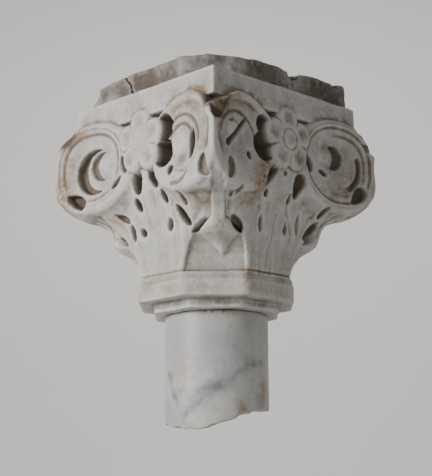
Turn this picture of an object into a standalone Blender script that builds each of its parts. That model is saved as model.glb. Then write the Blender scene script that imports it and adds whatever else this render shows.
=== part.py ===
"""Carved marble capital with its bed slab and the broken head of its shaft.

Metres, +Z up. The origin is the middle of the bed slab's flat top, so the work
hangs below z = 0. Face 0 looks along -Y and each next face is a quarter turn
further round, against the clock seen from above. Corner 0 lies between faces 0
and 1, and so on.
"""
import math
import random

import bmesh
import bpy
from mathutils import Matrix, Vector

# Heights, from the top down
SLAB_HEIGHT = 0.0311
ABACUS_HEIGHT = 0.0326
BELL_HEIGHT = 0.1787
RING_BEVEL_HEIGHT = 0.0080
RING_BAND_HEIGHT = 0.0202
LOWER_RING_HEIGHT = 0.0112
SHAFT_LENGTH = 0.1338
JOINT_GAP = 0.0003

# Widths across the flats, and round sizes
SLAB_WIDTH = 0.2140
SLAB_ROUGHNESS = 0.0012
SLAB_EDGE_WEAR = 0.0025
ABACUS_WIDTH = 0.2380
ABACUS_EDGE_WEAR = 0.0015
BELL_FOOT_WIDTH = 0.1680
RING_WIDTH = 0.1780
RING_SHOULDER = 0.0045
RING_ARRIS_CUT = 0.0060
LOWER_RING_WIDTH = 0.1434
LOWER_RING_ARRIS_CUT = 0.0030
SHAFT_DIAMETER = 0.1200
SHAFT_SHOULDER_WEAR = 0.0020

# Volutes: discs that leave the abacus face beside the flower and meet on the corner
CORNER_REACH = 0.1925
VOLUTE_START = 0.0210
VOLUTE_RADIUS = 0.0575
VOLUTE_DEPTH = 0.0480
VOLUTE_EDGE_ROUND = 0.0090
VOLUTE_LAP = 0.0080
EYE_OFFSET = 0.0190
EYE_RADIUS = 0.0160
INNER_GROOVE_WIDTH = 0.0075
OUTER_GROOVE_WIDTH = 0.0110
GROOVE_RIB_WIDTH = 0.0030
GROOVE_DEPTH = 0.0100

# Flowers: five petals round a button, one in the middle of each face
FLOWER_RADIUS = 0.0370
PETAL_RADIUS = 0.0160
BUTTON_RADIUS = 0.0130
FLOWER_THICKNESS = 0.0260
FLOWER_PROUD = 0.0030
FLOWER_LAP = 0.0080

# Corner ridge, and the stem and pointed leaf that hang below it
RIDGE_WIDTH = 0.0170
STEM_REACH = 0.1230
LEAF_WIDTH = 0.0500
LEAF_TIP_REACH = 0.0935

# Drilled and undercut hollows
HOLE_DEPTH_IN_WIDTHS = 1.25
RECESS_ACROSS = 0.0400
RECESS_DROP = 0.0090
RECESS_RADIUS = 0.0170
RECESS_LOBE_OFFSET = 0.0140
RECESS_DEPTH = 0.0300

# The break across the shaft: its low side is towards corner 3, its high side towards 1
BREAK_RISE = 0.0210
BREAK_BACK_RISE = 0.0120
BREAK_EDGE_RISE = 0.0040
BREAK_HOLLOW = 0.0050

# The crack in the slab's face 0, from its top edge down and towards corner 0
CRACK_TOP = -0.0440
CRACK_LEAN = 0.0180
CRACK_WIDTH = 0.0026
CRACK_DEPTH = 0.0100

FACES = 4
BELL_SIDES = 48
DISC_SIDES = 20
GROOVE_STEPS = 8
HOLE_SIDES = 6
RECESS_SIDES = 16
PETALS = 5
PETAL_POINTS = 5
SHAFT_SIDES = 40
SLAB_POINT_GAP = 0.0170
RANDOM_SEED = 7

# Levels worked out from the heights
SLAB_FOOT = -SLAB_HEIGHT
ABACUS_TOP = SLAB_FOOT - JOINT_GAP
ABACUS_FOOT = ABACUS_TOP - ABACUS_HEIGHT
RING_TOP = ABACUS_FOOT - BELL_HEIGHT
RING_BAND_TOP = RING_TOP - RING_BEVEL_HEIGHT
RING_FOOT = RING_BAND_TOP - RING_BAND_HEIGHT
LOWER_RING_FOOT = RING_FOOT - LOWER_RING_HEIGHT
SHAFT_TOP = LOWER_RING_FOOT - JOINT_GAP
SHAFT_FOOT = SHAFT_TOP - SHAFT_LENGTH
ABACUS_HALF = ABACUS_WIDTH / 2
BELL_FOOT = BELL_FOOT_WIDTH / 2
VOLUTE_LEVEL = ABACUS_FOOT + VOLUTE_LAP - VOLUTE_RADIUS
FLOWER_LEVEL = ABACUS_FOOT + FLOWER_LAP - FLOWER_RADIUS

# The bell's outline, foot to top: share of its height, then how far the face and
# the corner have flared, as shares of the way out to the abacus and the volutes
BELL_OUTLINE = (
    (0.00, 0.00, 0.00),
    (0.09, 0.07, 0.03),
    (0.16, 0.15, 0.08),
    (0.24, 0.26, 0.19),
    (0.30, 0.37, 0.28),
    (0.38, 0.52, 0.41),
    (0.44, 0.64, 0.54),
    (0.50, 0.75, 0.65),
    (0.60, 0.86, 0.68),
    (0.75, 0.90, 0.62),
    (1.00, 0.92, 0.60),
)
# Height share above which the bell is a round-cornered square and no longer eight-sided
BELL_ROUND_SHARE = 0.26
BELL_CORNER_POWER = 3.0

# The corner from the notch down to the lip: height as a share of the bell below the
# abacus, reach as a share of the way from the stem out to the corner reach, and half
# width as a share of the ridge's
RIDGE_OUTLINE = (
    (0.105, 0.78, 0.45),
    (0.155, 0.97, 0.80),
    (0.225, 1.00, 1.00),
    (0.380, 0.97, 1.10),
    (0.450, 0.90, 1.25),
    (0.500, 0.80, 1.40),
    (0.530, 0.67, 1.50),
    (0.562, 0.42, 1.45),
    (0.595, 0.20, 1.20),
)
# The stem and the leaf below it: height share, reach as a share of the way from the
# tip out to the stem, and half width as a share of the leaf's
LEAF_OUTLINE = (
    (0.640, 0.99, 0.33),
    (0.700, 0.96, 0.34),
    (0.735, 0.94, 0.50),
    (0.765, 0.86, 1.00),
    (0.795, 0.60, 1.02),
    (0.830, 0.30, 0.85),
    (0.870, 0.08, 0.55),
    (0.910, 0.00, 0.12),
)

# Drilled hollows on faces 0 and 2: place across the face as a share of half the
# abacus, level as a share of the bell below the abacus, length and width in metres,
# and lean of the long axis in degrees, positive where its top leans to the right
EVEN_FACE_HOLES = (
    (-0.84, 0.465, 0.036, 0.016, -58),
    (-0.34, 0.385, 0.019, 0.007, 45),
    (-0.25, 0.285, 0.022, 0.008, -15),
    (-0.09, 0.415, 0.027, 0.016, 8),
    (0.14, 0.405, 0.024, 0.013, -26),
    (-0.13, 0.555, 0.016, 0.009, -22),
    (-0.39, 0.610, 0.022, 0.007, -68),
    (-0.30, 0.710, 0.018, 0.008, 6),
    (-0.15, 0.722, 0.012, 0.009, -45),
    (-0.49, 0.745, 0.018, 0.008, -55),
    (0.25, 0.540, 0.016, 0.008, -20),
    (0.46, 0.415, 0.011, 0.010, 0),
    (0.50, 0.590, 0.013, 0.007, 25),
    (0.42, 0.670, 0.025, 0.010, -28),
    (0.23, 0.712, 0.015, 0.009, 25),
    (0.50, 0.745, 0.022, 0.009, 35),
)
# Drilled hollows on faces 1 and 3, in the same terms
ODD_FACE_HOLES = (
    (0.29, 0.275, 0.022, 0.010, -25),
    (0.46, 0.325, 0.014, 0.007, -65),
    (0.91, 0.440, 0.032, 0.016, 52),
    (0.53, 0.580, 0.012, 0.008, 20),
    (0.47, 0.695, 0.030, 0.012, 50),
    (0.13, 0.705, 0.014, 0.006, 0),
    (0.28, 0.670, 0.016, 0.006, 0),
    (-0.21, 0.705, 0.017, 0.007, -8),
    (-0.49, 0.728, 0.022, 0.010, -35),
    (-0.58, 0.340, 0.008, 0.007, 0),
    (-0.66, 0.570, 0.009, 0.007, 30),
    (-0.24, 0.415, 0.034, 0.013, 48),
    (-0.24, 0.520, 0.008, 0.008, 0),
    (0.17, 0.440, 0.028, 0.013, 15),
    (0.09, 0.527, 0.011, 0.005, 0),
)
# Faces 2 and 3 keep only the hollows at least this long
HIDDEN_FACE_SHORTEST_HOLE = 0.0180

# The slab seen from above, as shares of half its width, round from corner 3: a plain
# square with corner 0 broken off and a dip in face 1
SLAB_OUTLINE = (
    (-0.98, -0.98),
    (0.49, -0.99),
    (0.74, -0.83),
    (0.89, -0.57),
    (0.96, -0.38),
    (0.985, 0.00),
    (0.92, 0.30),
    (1.01, 0.48),
    (1.04, 1.07),
    (0.40, 1.00),
    (-0.86, 1.01),
    (-1.00, 0.85),
    (-0.985, -0.20),
)


def clear_scene():
    """Remove whatever the file holds, so that the script can run again."""
    for thing in list(bpy.data.objects):
        bpy.data.objects.remove(thing, do_unlink=True)


def stone_material(name, colour, roughness):
    """A plain stone material."""
    material = bpy.data.materials.new(name)
    material.use_nodes = True
    shader = material.node_tree.nodes["Principled BSDF"]
    shader.inputs["Base Color"].default_value = (*colour, 1.0)
    shader.inputs["Roughness"].default_value = roughness
    return material


def add_object(name, mesh_data, material=None):
    """Link a bmesh to the scene as a named object with outward faces."""
    bmesh.ops.recalc_face_normals(mesh_data, faces=mesh_data.faces)
    mesh = bpy.data.meshes.new(name)
    mesh_data.to_mesh(mesh)
    mesh_data.free()
    thing = bpy.data.objects.new(name, mesh)
    bpy.context.scene.collection.objects.link(thing)
    if material:
        mesh.materials.append(material)
    return thing


def loft(rings, body=None):
    """Add a closed body through rings of points that all hold as many points."""
    body = body or bmesh.new()
    loops = [[body.verts.new(point) for point in ring] for ring in rings]
    count = len(rings[0])
    for lower, upper in zip(loops, loops[1:]):
        for i in range(count):
            j = (i + 1) % count
            body.faces.new((lower[i], lower[j], upper[j], upper[i]))
    body.faces.new(list(reversed(loops[0])))
    body.faces.new(loops[-1])
    return body


def smooth_step(share):
    """Ease from 0 to 1."""
    share = min(max(share, 0.0), 1.0)
    return share * share * (3.0 - 2.0 * share)


def face_turn(face):
    """Rotation from face 0 to the given face."""
    return Matrix.Rotation(face * math.tau / FACES, 3, "Z")


def face_point(face, across, out, height):
    """World point from a face's own axes: across it, out from the axis, and up."""
    return face_turn(face) @ Vector((across, -out, height))


def bell_flares(share):
    """The face's and the corner's flare at a share of the bell's height."""
    for lower, upper in zip(BELL_OUTLINE, BELL_OUTLINE[1:]):
        if share <= upper[0]:
            step = (share - lower[0]) / (upper[0] - lower[0])
            return tuple(lower[i] + step * (upper[i] - lower[i]) for i in (1, 2))
    return BELL_OUTLINE[-1][1:]


def bell_reach(angle, share):
    """Distance from the axis to the bell's skin, at an angle from a face's middle."""
    face_flare, corner_flare = bell_flares(share)
    face_out = BELL_FOOT + face_flare * (ABACUS_HALF - BELL_FOOT)
    corner_out = BELL_FOOT + corner_flare * (CORNER_REACH - BELL_FOOT)
    eighth = math.tau / 8
    off_flat = (angle + eighth / 2) % eighth - eighth / 2
    turn = abs(math.sin(2 * angle))
    rounded = face_out + (corner_out - face_out) * turn ** BELL_CORNER_POWER
    eight_sided = (face_out + (corner_out - face_out) * turn) / math.cos(off_flat)
    blend = smooth_step(share / BELL_ROUND_SHARE)
    return eight_sided * (1 - blend) + rounded * blend


def make_bell():
    """The core: eight-sided at its foot, a round-cornered square under the abacus."""
    levels = [(RING_TOP + share * BELL_HEIGHT, share) for share, _, _ in BELL_OUTLINE]
    levels.insert(0, (RING_TOP - RING_BEVEL_HEIGHT / 2, 0.0))
    levels.append((ABACUS_FOOT + ABACUS_HEIGHT / 2, 1.0))
    rings = []
    for height, share in levels:
        ring = []
        for i in range(BELL_SIDES):
            angle = i * math.tau / BELL_SIDES
            reach = bell_reach(angle, share)
            ring.append((reach * math.cos(angle), reach * math.sin(angle), height))
        rings.append(ring)
    return loft(rings)


def eight_sided(levels, arris_cut):
    """Stacked octagons with cut corners, from (height, distance to the flats) levels."""
    rings = []
    for height, flat_out in levels:
        half_side = flat_out * math.tan(math.tau / 16) - arris_cut / 2
        ring = []
        for flat in range(8):
            turn = Matrix.Rotation(flat * math.tau / 8, 3, "Z")
            for across in (-half_side, half_side):
                ring.append(turn @ Vector((flat_out, across, height)))
        rings.append(ring)
    return loft(rings)


def make_upper_ring():
    """The astragal, with a sloped shoulder above and a worn edge below."""
    out = RING_WIDTH / 2
    wear = RING_SHOULDER / 3
    levels = (
        (RING_FOOT, out - wear),
        (RING_FOOT + wear, out),
        (RING_BAND_TOP, out),
        (RING_TOP, out - RING_SHOULDER),
    )
    return eight_sided(levels, RING_ARRIS_CUT)


def make_lower_ring():
    """The smaller ring that stands on the shaft."""
    out = LOWER_RING_WIDTH / 2
    levels = ((LOWER_RING_FOOT, out), (RING_FOOT + RING_BAND_HEIGHT / 2, out))
    return eight_sided(levels, LOWER_RING_ARRIS_CUT)


def make_abacus():
    """The square top plate, with softened edges."""
    body = bmesh.new()
    bmesh.ops.create_cube(body, size=1.0)
    middle = (ABACUS_TOP + ABACUS_FOOT) / 2
    bmesh.ops.scale(body, verts=body.verts, vec=(ABACUS_WIDTH, ABACUS_WIDTH, ABACUS_HEIGHT))
    bmesh.ops.translate(body, verts=body.verts, vec=(0, 0, middle))
    bmesh.ops.bevel(body, geom=body.edges, offset=ABACUS_EDGE_WEAR, segments=1, affect="EDGES")
    return body


def volute_plane(side):
    """A volute's plane in face 0's axes: its start, its way along, its way out, its run."""
    corner = CORNER_REACH / math.sqrt(2)
    start = Vector((side * VOLUTE_START, -ABACUS_HALF, 0))
    end = Vector((side * corner, -corner, 0))
    along = (end - start).normalized()
    outward = Vector((-along.y, along.x, 0)) * -side
    return start, along, outward, (end - start).length


def disc_point(face, side, along_run, height, depth):
    """World point on a volute: along its plane, at a height, sunk by a depth."""
    start, along, outward, run = volute_plane(side)
    flat = start + along * along_run - outward * depth
    return face_turn(face) @ (flat + Vector((0, 0, height)))


def volute_middle():
    """How far along its plane a volute's disc is centred."""
    return volute_plane(1)[3] - VOLUTE_RADIUS


def make_volute(face, side):
    """One scroll's disc, narrower towards its back so that it stays inside its pair."""
    back = VOLUTE_RADIUS - 0.36 * VOLUTE_DEPTH
    levels = (
        (0.0, VOLUTE_RADIUS - VOLUTE_EDGE_ROUND, 0.0),
        (VOLUTE_EDGE_ROUND * 0.3, VOLUTE_RADIUS - VOLUTE_EDGE_ROUND * 0.3, 0.0),
        (VOLUTE_EDGE_ROUND, VOLUTE_RADIUS, 0.0),
        (VOLUTE_DEPTH, back, VOLUTE_RADIUS - back),
    )
    rings = []
    for depth, radius, shift in levels:
        ring = []
        for i in range(DISC_SIDES):
            angle = i * math.tau / DISC_SIDES
            along_run = volute_middle() - shift + radius * math.cos(angle)
            height = VOLUTE_LEVEL + radius * math.sin(angle)
            ring.append(disc_point(face, side, along_run, height, depth))
        rings.append(ring)
    return loft(rings)


def add_crescent(body, face, side, inner_radius, width):
    """Add the cutter for a scroll's groove, a crescent on the eye's corner side."""
    eye = volute_middle() - EYE_OFFSET
    sweep = math.radians(170)
    outline = []
    for i in range(GROOVE_STEPS + 1):
        outline.append((inner_radius, sweep * (i / GROOVE_STEPS - 0.5)))
    for i in range(1, GROOVE_STEPS):
        angle = sweep * (0.5 - i / GROOVE_STEPS)
        outline.append((inner_radius + width * math.cos(angle * math.pi / sweep), angle))
    rings = []
    for depth in (-GROOVE_DEPTH, GROOVE_DEPTH):
        ring = []
        for radius, angle in outline:
            along_run = eye + radius * math.cos(angle)
            height = VOLUTE_LEVEL + radius * math.sin(angle)
            ring.append(disc_point(face, side, along_run, height, depth))
        rings.append(ring)
    loft(rings, body)


def make_grooves():
    """Cutters for both grooves of all eight scrolls."""
    body = bmesh.new()
    outer_start = EYE_RADIUS + INNER_GROOVE_WIDTH + GROOVE_RIB_WIDTH
    for face in range(FACES):
        for side in (-1, 1):
            add_crescent(body, face, side, EYE_RADIUS, INNER_GROOVE_WIDTH)
            add_crescent(body, face, side, outer_start, OUTER_GROOVE_WIDTH)
    return body


def corner_section(corner, height, reach, half_width):
    """One level of the corner: a rounded nose on a root inside the bell."""
    turn = Matrix.Rotation((corner + 0.5) * math.tau / FACES, 3, "Z")
    root = BELL_FOOT * 0.82
    nose = half_width * 0.9
    flat = (
        (root, -half_width),
        (reach - nose, -half_width),
        (reach - nose * 0.28, -half_width * 0.62),
        (reach, 0.0),
        (reach - nose * 0.28, half_width * 0.62),
        (reach - nose, half_width),
        (root, half_width),
    )
    return [turn @ Vector((across, -out, height)) for out, across in flat]


def make_corner(corner):
    """Ridge between two volutes, the stem under its lip, and the pointed leaf."""
    rings = []
    for share, reach_share, width_share in RIDGE_OUTLINE:
        height = ABACUS_FOOT - share * BELL_HEIGHT
        reach = STEM_REACH + reach_share * (CORNER_REACH - STEM_REACH)
        rings.append(corner_section(corner, height, reach, width_share * RIDGE_WIDTH / 2))
    for share, reach_share, width_share in LEAF_OUTLINE:
        height = ABACUS_FOOT - share * BELL_HEIGHT
        reach = LEAF_TIP_REACH + reach_share * (STEM_REACH - LEAF_TIP_REACH)
        rings.append(corner_section(corner, height, reach, width_share * LEAF_WIDTH / 2))
    return loft(rings)


def petal_reach(angle):
    """Distance from the flower's middle to its five-lobed edge."""
    lobe = math.tau / PETALS
    off_petal = (angle - math.tau / 4 + lobe / 2) % lobe - lobe / 2
    centre = FLOWER_RADIUS - PETAL_RADIUS
    aside = centre * math.sin(off_petal)
    return centre * math.cos(off_petal) + math.sqrt(PETAL_RADIUS ** 2 - aside ** 2)


def make_flower(face):
    """Five petals and a round button, on a back that runs into the bell."""
    front = ABACUS_HALF + FLOWER_PROUD
    button = BUTTON_RADIUS / FLOWER_RADIUS
    levels = (
        (FLOWER_THICKNESS, 0.55, 1.0),
        (FLOWER_PROUD * 3.5, 0.97, 1.0),
        (FLOWER_PROUD * 1.3, 1.0, 1.0),
        (FLOWER_PROUD * 0.7, 0.93, 1.0),
        (FLOWER_PROUD * 1.8, button * 1.25, 0.0),
        (FLOWER_PROUD * 0.6, button, 0.0),
        (0.0, button * 0.6, 0.0),
    )
    count = PETALS * PETAL_POINTS
    rings = []
    for depth, scale, lobed in levels:
        ring = []
        for i in range(count):
            angle = math.tau / 4 + i * math.tau / count
            reach = scale * (petal_reach(angle) * lobed + FLOWER_RADIUS * (1 - lobed))
            across = reach * math.cos(angle)
            height = FLOWER_LEVEL + reach * math.sin(angle)
            ring.append(face_point(face, across, front - depth, height))
        rings.append(ring)
    return loft(rings)


def skin_out(across, height):
    """How far out the carved skin lies at a place on a face."""
    share = (height - RING_TOP) / BELL_HEIGHT
    out = ABACUS_HALF
    for _ in range(12):
        reach = bell_reach(math.atan2(across, out), share)
        out = math.sqrt(max(reach ** 2 - across ** 2, (reach / 2) ** 2))
    start, along, outward, run = volute_plane(1)
    along_run = (abs(across) - start.x) / along.x
    off_middle = math.hypot(along_run - volute_middle(), height - VOLUTE_LEVEL)
    if off_middle < VOLUTE_RADIUS:
        out = max(out, ABACUS_HALF - along.y * along_run)
    return out


def add_hole(body, face, place):
    """Add the cutter for one drilled hollow, an oval that narrows inwards."""
    across_share, level_share, length, width, lean = place
    across = across_share * ABACUS_HALF
    height = ABACUS_FOOT - level_share * BELL_HEIGHT
    skin = skin_out(across, height)
    turn = math.radians(lean)
    depth = HOLE_DEPTH_IN_WIDTHS * width
    rings = []
    for out, size in ((skin + depth, 1.1), (skin, 1.0), (skin - depth, 0.6)):
        ring = []
        for i in range(HOLE_SIDES):
            angle = i * math.tau / HOLE_SIDES
            long_way = size * length / 2 * math.cos(angle)
            short_way = size * width / 2 * math.sin(angle)
            aside = long_way * math.sin(turn) + short_way * math.cos(turn)
            up = long_way * math.cos(turn) - short_way * math.sin(turn)
            ring.append(face_point(face, across + aside, out, height + up))
        rings.append(ring)
    loft(rings, body)


def make_holes(face):
    """Cutters for all the drilled hollows of a face."""
    body = bmesh.new()
    places = ODD_FACE_HOLES if face % 2 else EVEN_FACE_HOLES
    shortest = HIDDEN_FACE_SHORTEST_HOLE if face > 1 else 0.0
    for place in places:
        if place[2] >= shortest:
            add_hole(body, face, place)
    return body


def recess_reach(angle):
    """Distance from the recess's middle to its edge, two round lobes one on the other."""
    aside = RECESS_LOBE_OFFSET * abs(math.cos(angle))
    return RECESS_LOBE_OFFSET * abs(math.sin(angle)) + math.sqrt(RECESS_RADIUS ** 2 - aside ** 2)


def make_recess(face):
    """Cutter for the deep hollow beside the flower, two scallops one over the other."""
    side = -1 if face % 2 else 1
    middle = FLOWER_LEVEL - RECESS_DROP
    rings = []
    for depth, size in ((-0.4, 1.1), (0.0, 1.0), (0.6, 0.85), (0.9, 0.6), (1.0, 0.3)):
        ring = []
        for i in range(RECESS_SIDES):
            angle = i * math.tau / RECESS_SIDES
            reach = size * recess_reach(angle)
            across = side * (RECESS_ACROSS + reach * math.cos(angle))
            height = middle + reach * math.sin(angle)
            ring.append(face_point(face, across, ABACUS_HALF - depth * RECESS_DEPTH, height))
        rings.append(ring)
    return loft(rings)


def combine(body, thing, operation):
    """Join or cut with an exact Boolean; the other shape is a guide, not a piece."""
    thing.hide_render = True
    thing.display_type = "WIRE"
    step = body.modifiers.new(thing.name, "BOOLEAN")
    step.operation = operation
    step.solver = "EXACT"
    step.object = thing


def make_capital(stone):
    """The whole carved block."""
    capital = add_object("capital", make_bell(), stone)
    for face in range(FACES):
        for side in (-1, 1):
            disc = add_object(f"volute_{face}_{side}", make_volute(face, side))
            combine(capital, disc, "UNION")
    for corner in range(FACES):
        combine(capital, add_object(f"corner_{corner}", make_corner(corner)), "UNION")
    combine(capital, add_object("scroll_grooves", make_grooves()), "DIFFERENCE")
    for face in range(FACES):
        combine(capital, add_object(f"holes_{face}", make_holes(face)), "DIFFERENCE")
        combine(capital, add_object(f"recess_{face}", make_recess(face)), "DIFFERENCE")
    combine(capital, add_object("abacus", make_abacus()), "UNION")
    combine(capital, add_object("upper_ring", make_upper_ring()), "UNION")
    combine(capital, add_object("lower_ring", make_lower_ring()), "UNION")
    for face in range(FACES):
        combine(capital, add_object(f"flower_{face}", make_flower(face)), "UNION")
    return capital


def slab_edge_points():
    """The slab's outline with points a little apart, as (x, y) in metres."""
    corners = [Vector(point) * SLAB_WIDTH / 2 for point in SLAB_OUTLINE]
    points = []
    for start, end in zip(corners, corners[1:] + corners[:1]):
        steps = max(1, round((end - start).length / SLAB_POINT_GAP))
        for i in range(steps):
            points.append(start.lerp(end, i / steps))
    return points


def make_slab():
    """The rough bed slab: flat above and below, broken round its edge."""
    chance = random.Random(RANDOM_SEED)
    levels = (
        (SLAB_FOOT, 0.0, 0.4),
        (SLAB_FOOT * 0.6, SLAB_EDGE_WEAR * 0.2, 1.0),
        (SLAB_FOOT * 0.15, SLAB_EDGE_WEAR * 0.3, 1.0),
        (0.0, SLAB_EDGE_WEAR, 0.6),
    )
    rings = []
    for height, inset, rough in levels:
        ring = []
        for point in slab_edge_points():
            shrink = inset + rough * chance.uniform(0.0, 2.0) * SLAB_ROUGHNESS
            edge = point * (1 - shrink / point.length)
            ring.append((edge.x, edge.y, height))
        rings.append(ring)
    return loft(rings)


def make_crack():
    """Cutter for the crack in the slab's face 0, a thin leaning wedge."""
    beyond = 0.2 * SLAB_HEIGHT
    slope = CRACK_LEAN / SLAB_HEIGHT
    rings = []
    for height in (beyond, SLAB_FOOT - beyond):
        across = CRACK_TOP - slope * height
        out = SLAB_WIDTH / 2
        rings.append((
            face_point(0, across, out - CRACK_DEPTH, height),
            face_point(0, across - CRACK_WIDTH, out + CRACK_DEPTH, height),
            face_point(0, across + CRACK_WIDTH, out + CRACK_DEPTH, height),
        ))
    return loft(rings)


def break_height(x, y):
    """Height of the broken end under a point of the shaft's section."""
    radius = SHAFT_DIAMETER / 2
    to_corner_1 = (x + y) / math.sqrt(2) / radius
    to_back = (y - x) / math.sqrt(2) / radius
    rise = BREAK_RISE * smooth_step((to_corner_1 + 0.45) / 1.25)
    edge = BREAK_EDGE_RISE * max(0.0, -0.6 - to_corner_1) / 0.4
    back = BREAK_BACK_RISE * (to_back + 1) / 2
    inside = 1 - min(1.0, math.hypot(x, y) / radius)
    return SHAFT_FOOT + rise + edge + back + BREAK_HOLLOW * smooth_step(inside)


def make_shaft():
    """The round shaft's head, with a worn shoulder and an uneven broken end."""
    radius = SHAFT_DIAMETER / 2
    inner_rings = (0.78, 0.45, 0.15)
    rings = []
    shoulder = ((SHAFT_TOP, SHAFT_SHOULDER_WEAR), (SHAFT_TOP - SHAFT_SHOULDER_WEAR, 0.0))
    angles = [i * math.tau / SHAFT_SIDES for i in range(SHAFT_SIDES)]
    for height, inset in shoulder:
        reach = radius - inset
        rings.append([(reach * math.cos(a), reach * math.sin(a), height) for a in angles])
    for share in (1.0,) + inner_rings:
        ring = []
        for angle in angles:
            x = radius * share * math.cos(angle)
            y = radius * share * math.sin(angle)
            ring.append((x, y, break_height(x, y)))
        rings.append(ring)
    return loft(rings)


def main():
    clear_scene()
    make_capital(stone_material("weathered marble", (0.62, 0.59, 0.54), 0.6))
    slab = add_object("bed_slab", make_slab(), stone_material("rough bed stone", (0.38, 0.34, 0.29), 0.9))
    combine(slab, add_object("crack", make_crack()), "DIFFERENCE")
    add_object("shaft_fragment", make_shaft(), stone_material("veined marble", (0.70, 0.70, 0.69), 0.45))


main()
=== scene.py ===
import math

import bpy
import numpy as np
from mathutils import Matrix, Vector


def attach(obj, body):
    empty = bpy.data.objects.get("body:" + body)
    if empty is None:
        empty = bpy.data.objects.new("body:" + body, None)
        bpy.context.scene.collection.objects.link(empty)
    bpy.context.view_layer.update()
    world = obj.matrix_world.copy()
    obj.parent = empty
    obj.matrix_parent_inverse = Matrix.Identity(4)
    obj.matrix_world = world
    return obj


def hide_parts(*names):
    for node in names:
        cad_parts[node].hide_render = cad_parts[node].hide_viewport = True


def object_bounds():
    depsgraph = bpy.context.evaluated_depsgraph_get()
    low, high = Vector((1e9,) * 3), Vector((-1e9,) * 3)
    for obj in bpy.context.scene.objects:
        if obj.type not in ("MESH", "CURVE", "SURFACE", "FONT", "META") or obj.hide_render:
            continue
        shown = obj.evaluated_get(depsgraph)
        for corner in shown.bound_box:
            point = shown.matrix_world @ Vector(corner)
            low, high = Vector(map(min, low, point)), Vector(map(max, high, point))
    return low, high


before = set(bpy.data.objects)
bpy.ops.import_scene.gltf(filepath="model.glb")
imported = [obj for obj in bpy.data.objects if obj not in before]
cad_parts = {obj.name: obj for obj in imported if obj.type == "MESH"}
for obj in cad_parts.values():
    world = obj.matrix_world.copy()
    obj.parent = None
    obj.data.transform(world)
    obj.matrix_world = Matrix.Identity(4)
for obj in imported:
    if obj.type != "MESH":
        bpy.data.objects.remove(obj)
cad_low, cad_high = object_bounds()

# The frame is in metres; the carving below is worked out in millimetres
MM = 0.001

# Camera, in metres and degrees, with the origin on the slab's flat top
CAMERA_PLACE = (1.0688, -1.0499, -0.5137)
CAMERA_AZIMUTH = 45.505
CAMERA_PITCH = 12.277
CAMERA_ROLL = -0.467
CAMERA_LENS = 97.988

FLOOR_LEVEL = -0.80
ROOM_RADIUS = 3.6
ROOM_HEIGHT = 3

# Grid steps of the sculpted pieces, in millimetres, and the most triangles of each
CAPITAL_STEP = 1.25
SLAB_STEP = 1.3
SHAFT_STEP = 1.3
CAPITAL_TRIANGLES = 190000
SLAB_TRIANGLES = 40000
SHAFT_TRIANGLES = 40000

# Levels and widths of the block, in millimetres, as in the solids
ABACUS_TOP = -31.4
ABACUS_FOOT = -64
ABACUS_HALF = 119
RING_TOP = -242.7
RING_BAND_TOP = -250.7
RING_FOOT = -270.9
LOWER_RING_FOOT = -282.1
RING_OUT = 89
LOWER_RING_OUT = 71.7
SHAFT_TOP = -282.4
SHAFT_RADIUS = 60
VOLUTE_START = 21
VOLUTE_TILT = math.radians(8.555)
DISC_MIDDLE = (59.5, -107.5)
DISC_WIDE = 66
DISC_ABOVE = 53.6
DISC_BELOW = 57.5
DISC_POWER = 2.2
DISC_EDGE = 8
LINES_WIDE = 59
FLOWER_MIDDLE = -92.5

# Skin of the broad leaf on each face: level, and distance out from the axis
SKIN = (
    (-251, 85), (-243, 85.6), (-234, 86.2), (-222, 87.8), (-212, 90.2),
    (-205, 92.4), (-190, 97.4), (-175, 103), (-163, 107.6), (-150, 111.8),
    (-137, 114.6), (-128, 115.6), (-110, 112), (-90, 106), (-64, 102),
)
# How far that skin follows the volutes' outward turn, level by level
SKIN_FOLLOW = (
    (-251, 0), (-200, 0), (-180, 0.12), (-163, 0.45), (-152, 0.85),
    (-140, 1), (-100, 0.9), (-64, 0.5),
)
# Reach of the corner: above, the ridge between the scrolls; below, the stem and the hood
# beside it, the nose under them and the flat panel above the ring
RIDGE = (
    (-166, 150), (-164.5, 154), (-158.5, 171), (-152.5, 180.5), (-145, 188),
    (-138, 192), (-130, 196), (-102, 200), (-97, 187), (-92, 172),
    (-86, 160), (-78, 151), (-62, 142),
)
PANEL = (
    (-251, 84), (-243, 84.6), (-234, 85.6), (-222, 89.2), (-217, 92),
    (-212, 95.2), (-208, 98.6), (-204, 102), (-198, 105.5), (-190, 110),
    (-183, 116), (-176, 122), (-170, 128), (-164, 136), (-158, 146),
    (-150, 160),
)
STEM = (
    (-204, 114), (-200, 118.5), (-190, 122), (-181, 124.6), (-175, 129),
    (-170, 138.5), (-166, 148), (-158.5, 170), (-152.5, 179.5),
)
NOSE = (
    (-231, 85), (-226, 88.6), (-222, 91.5), (-217, 95.5), (-212, 99.5),
    (-208, 105.5), (-204, 113), (-200, 118.5), (-194, 121), (-189, 122),
    (-186, 116),
)
# Half widths, level by level: of the flat on the ridge, and of the nose
RIDGE_HALF = ((-165, 6.5), (-150, 5.5), (-110, 2), (-97, 2.5), (-84, 4), (-64, 5))
NOSE_HALF = ((-226, 1), (-216, 10), (-203, 23), (-196, 18), (-189, 10))
# The sunk panel over the ring: its edges across the corner, its depth and its raised frame
NICHE_LEFT = (
    (-243, -36), (-230, -34), (-215, -29.5), (-204, -24), (-197, -17), (-190, -9),
)
NICHE_RIGHT = ((-243, 34.5), (-215, 33), (-204, 31), (-197, 29), (-190, 24))
NICHE_DEPTH = 3.4
NICHE_PROUD = 1.2
# How far each corner's ridge lies across from the diagonal
CORNER_LEAN = (4, -2, 2.5, -3)

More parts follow.
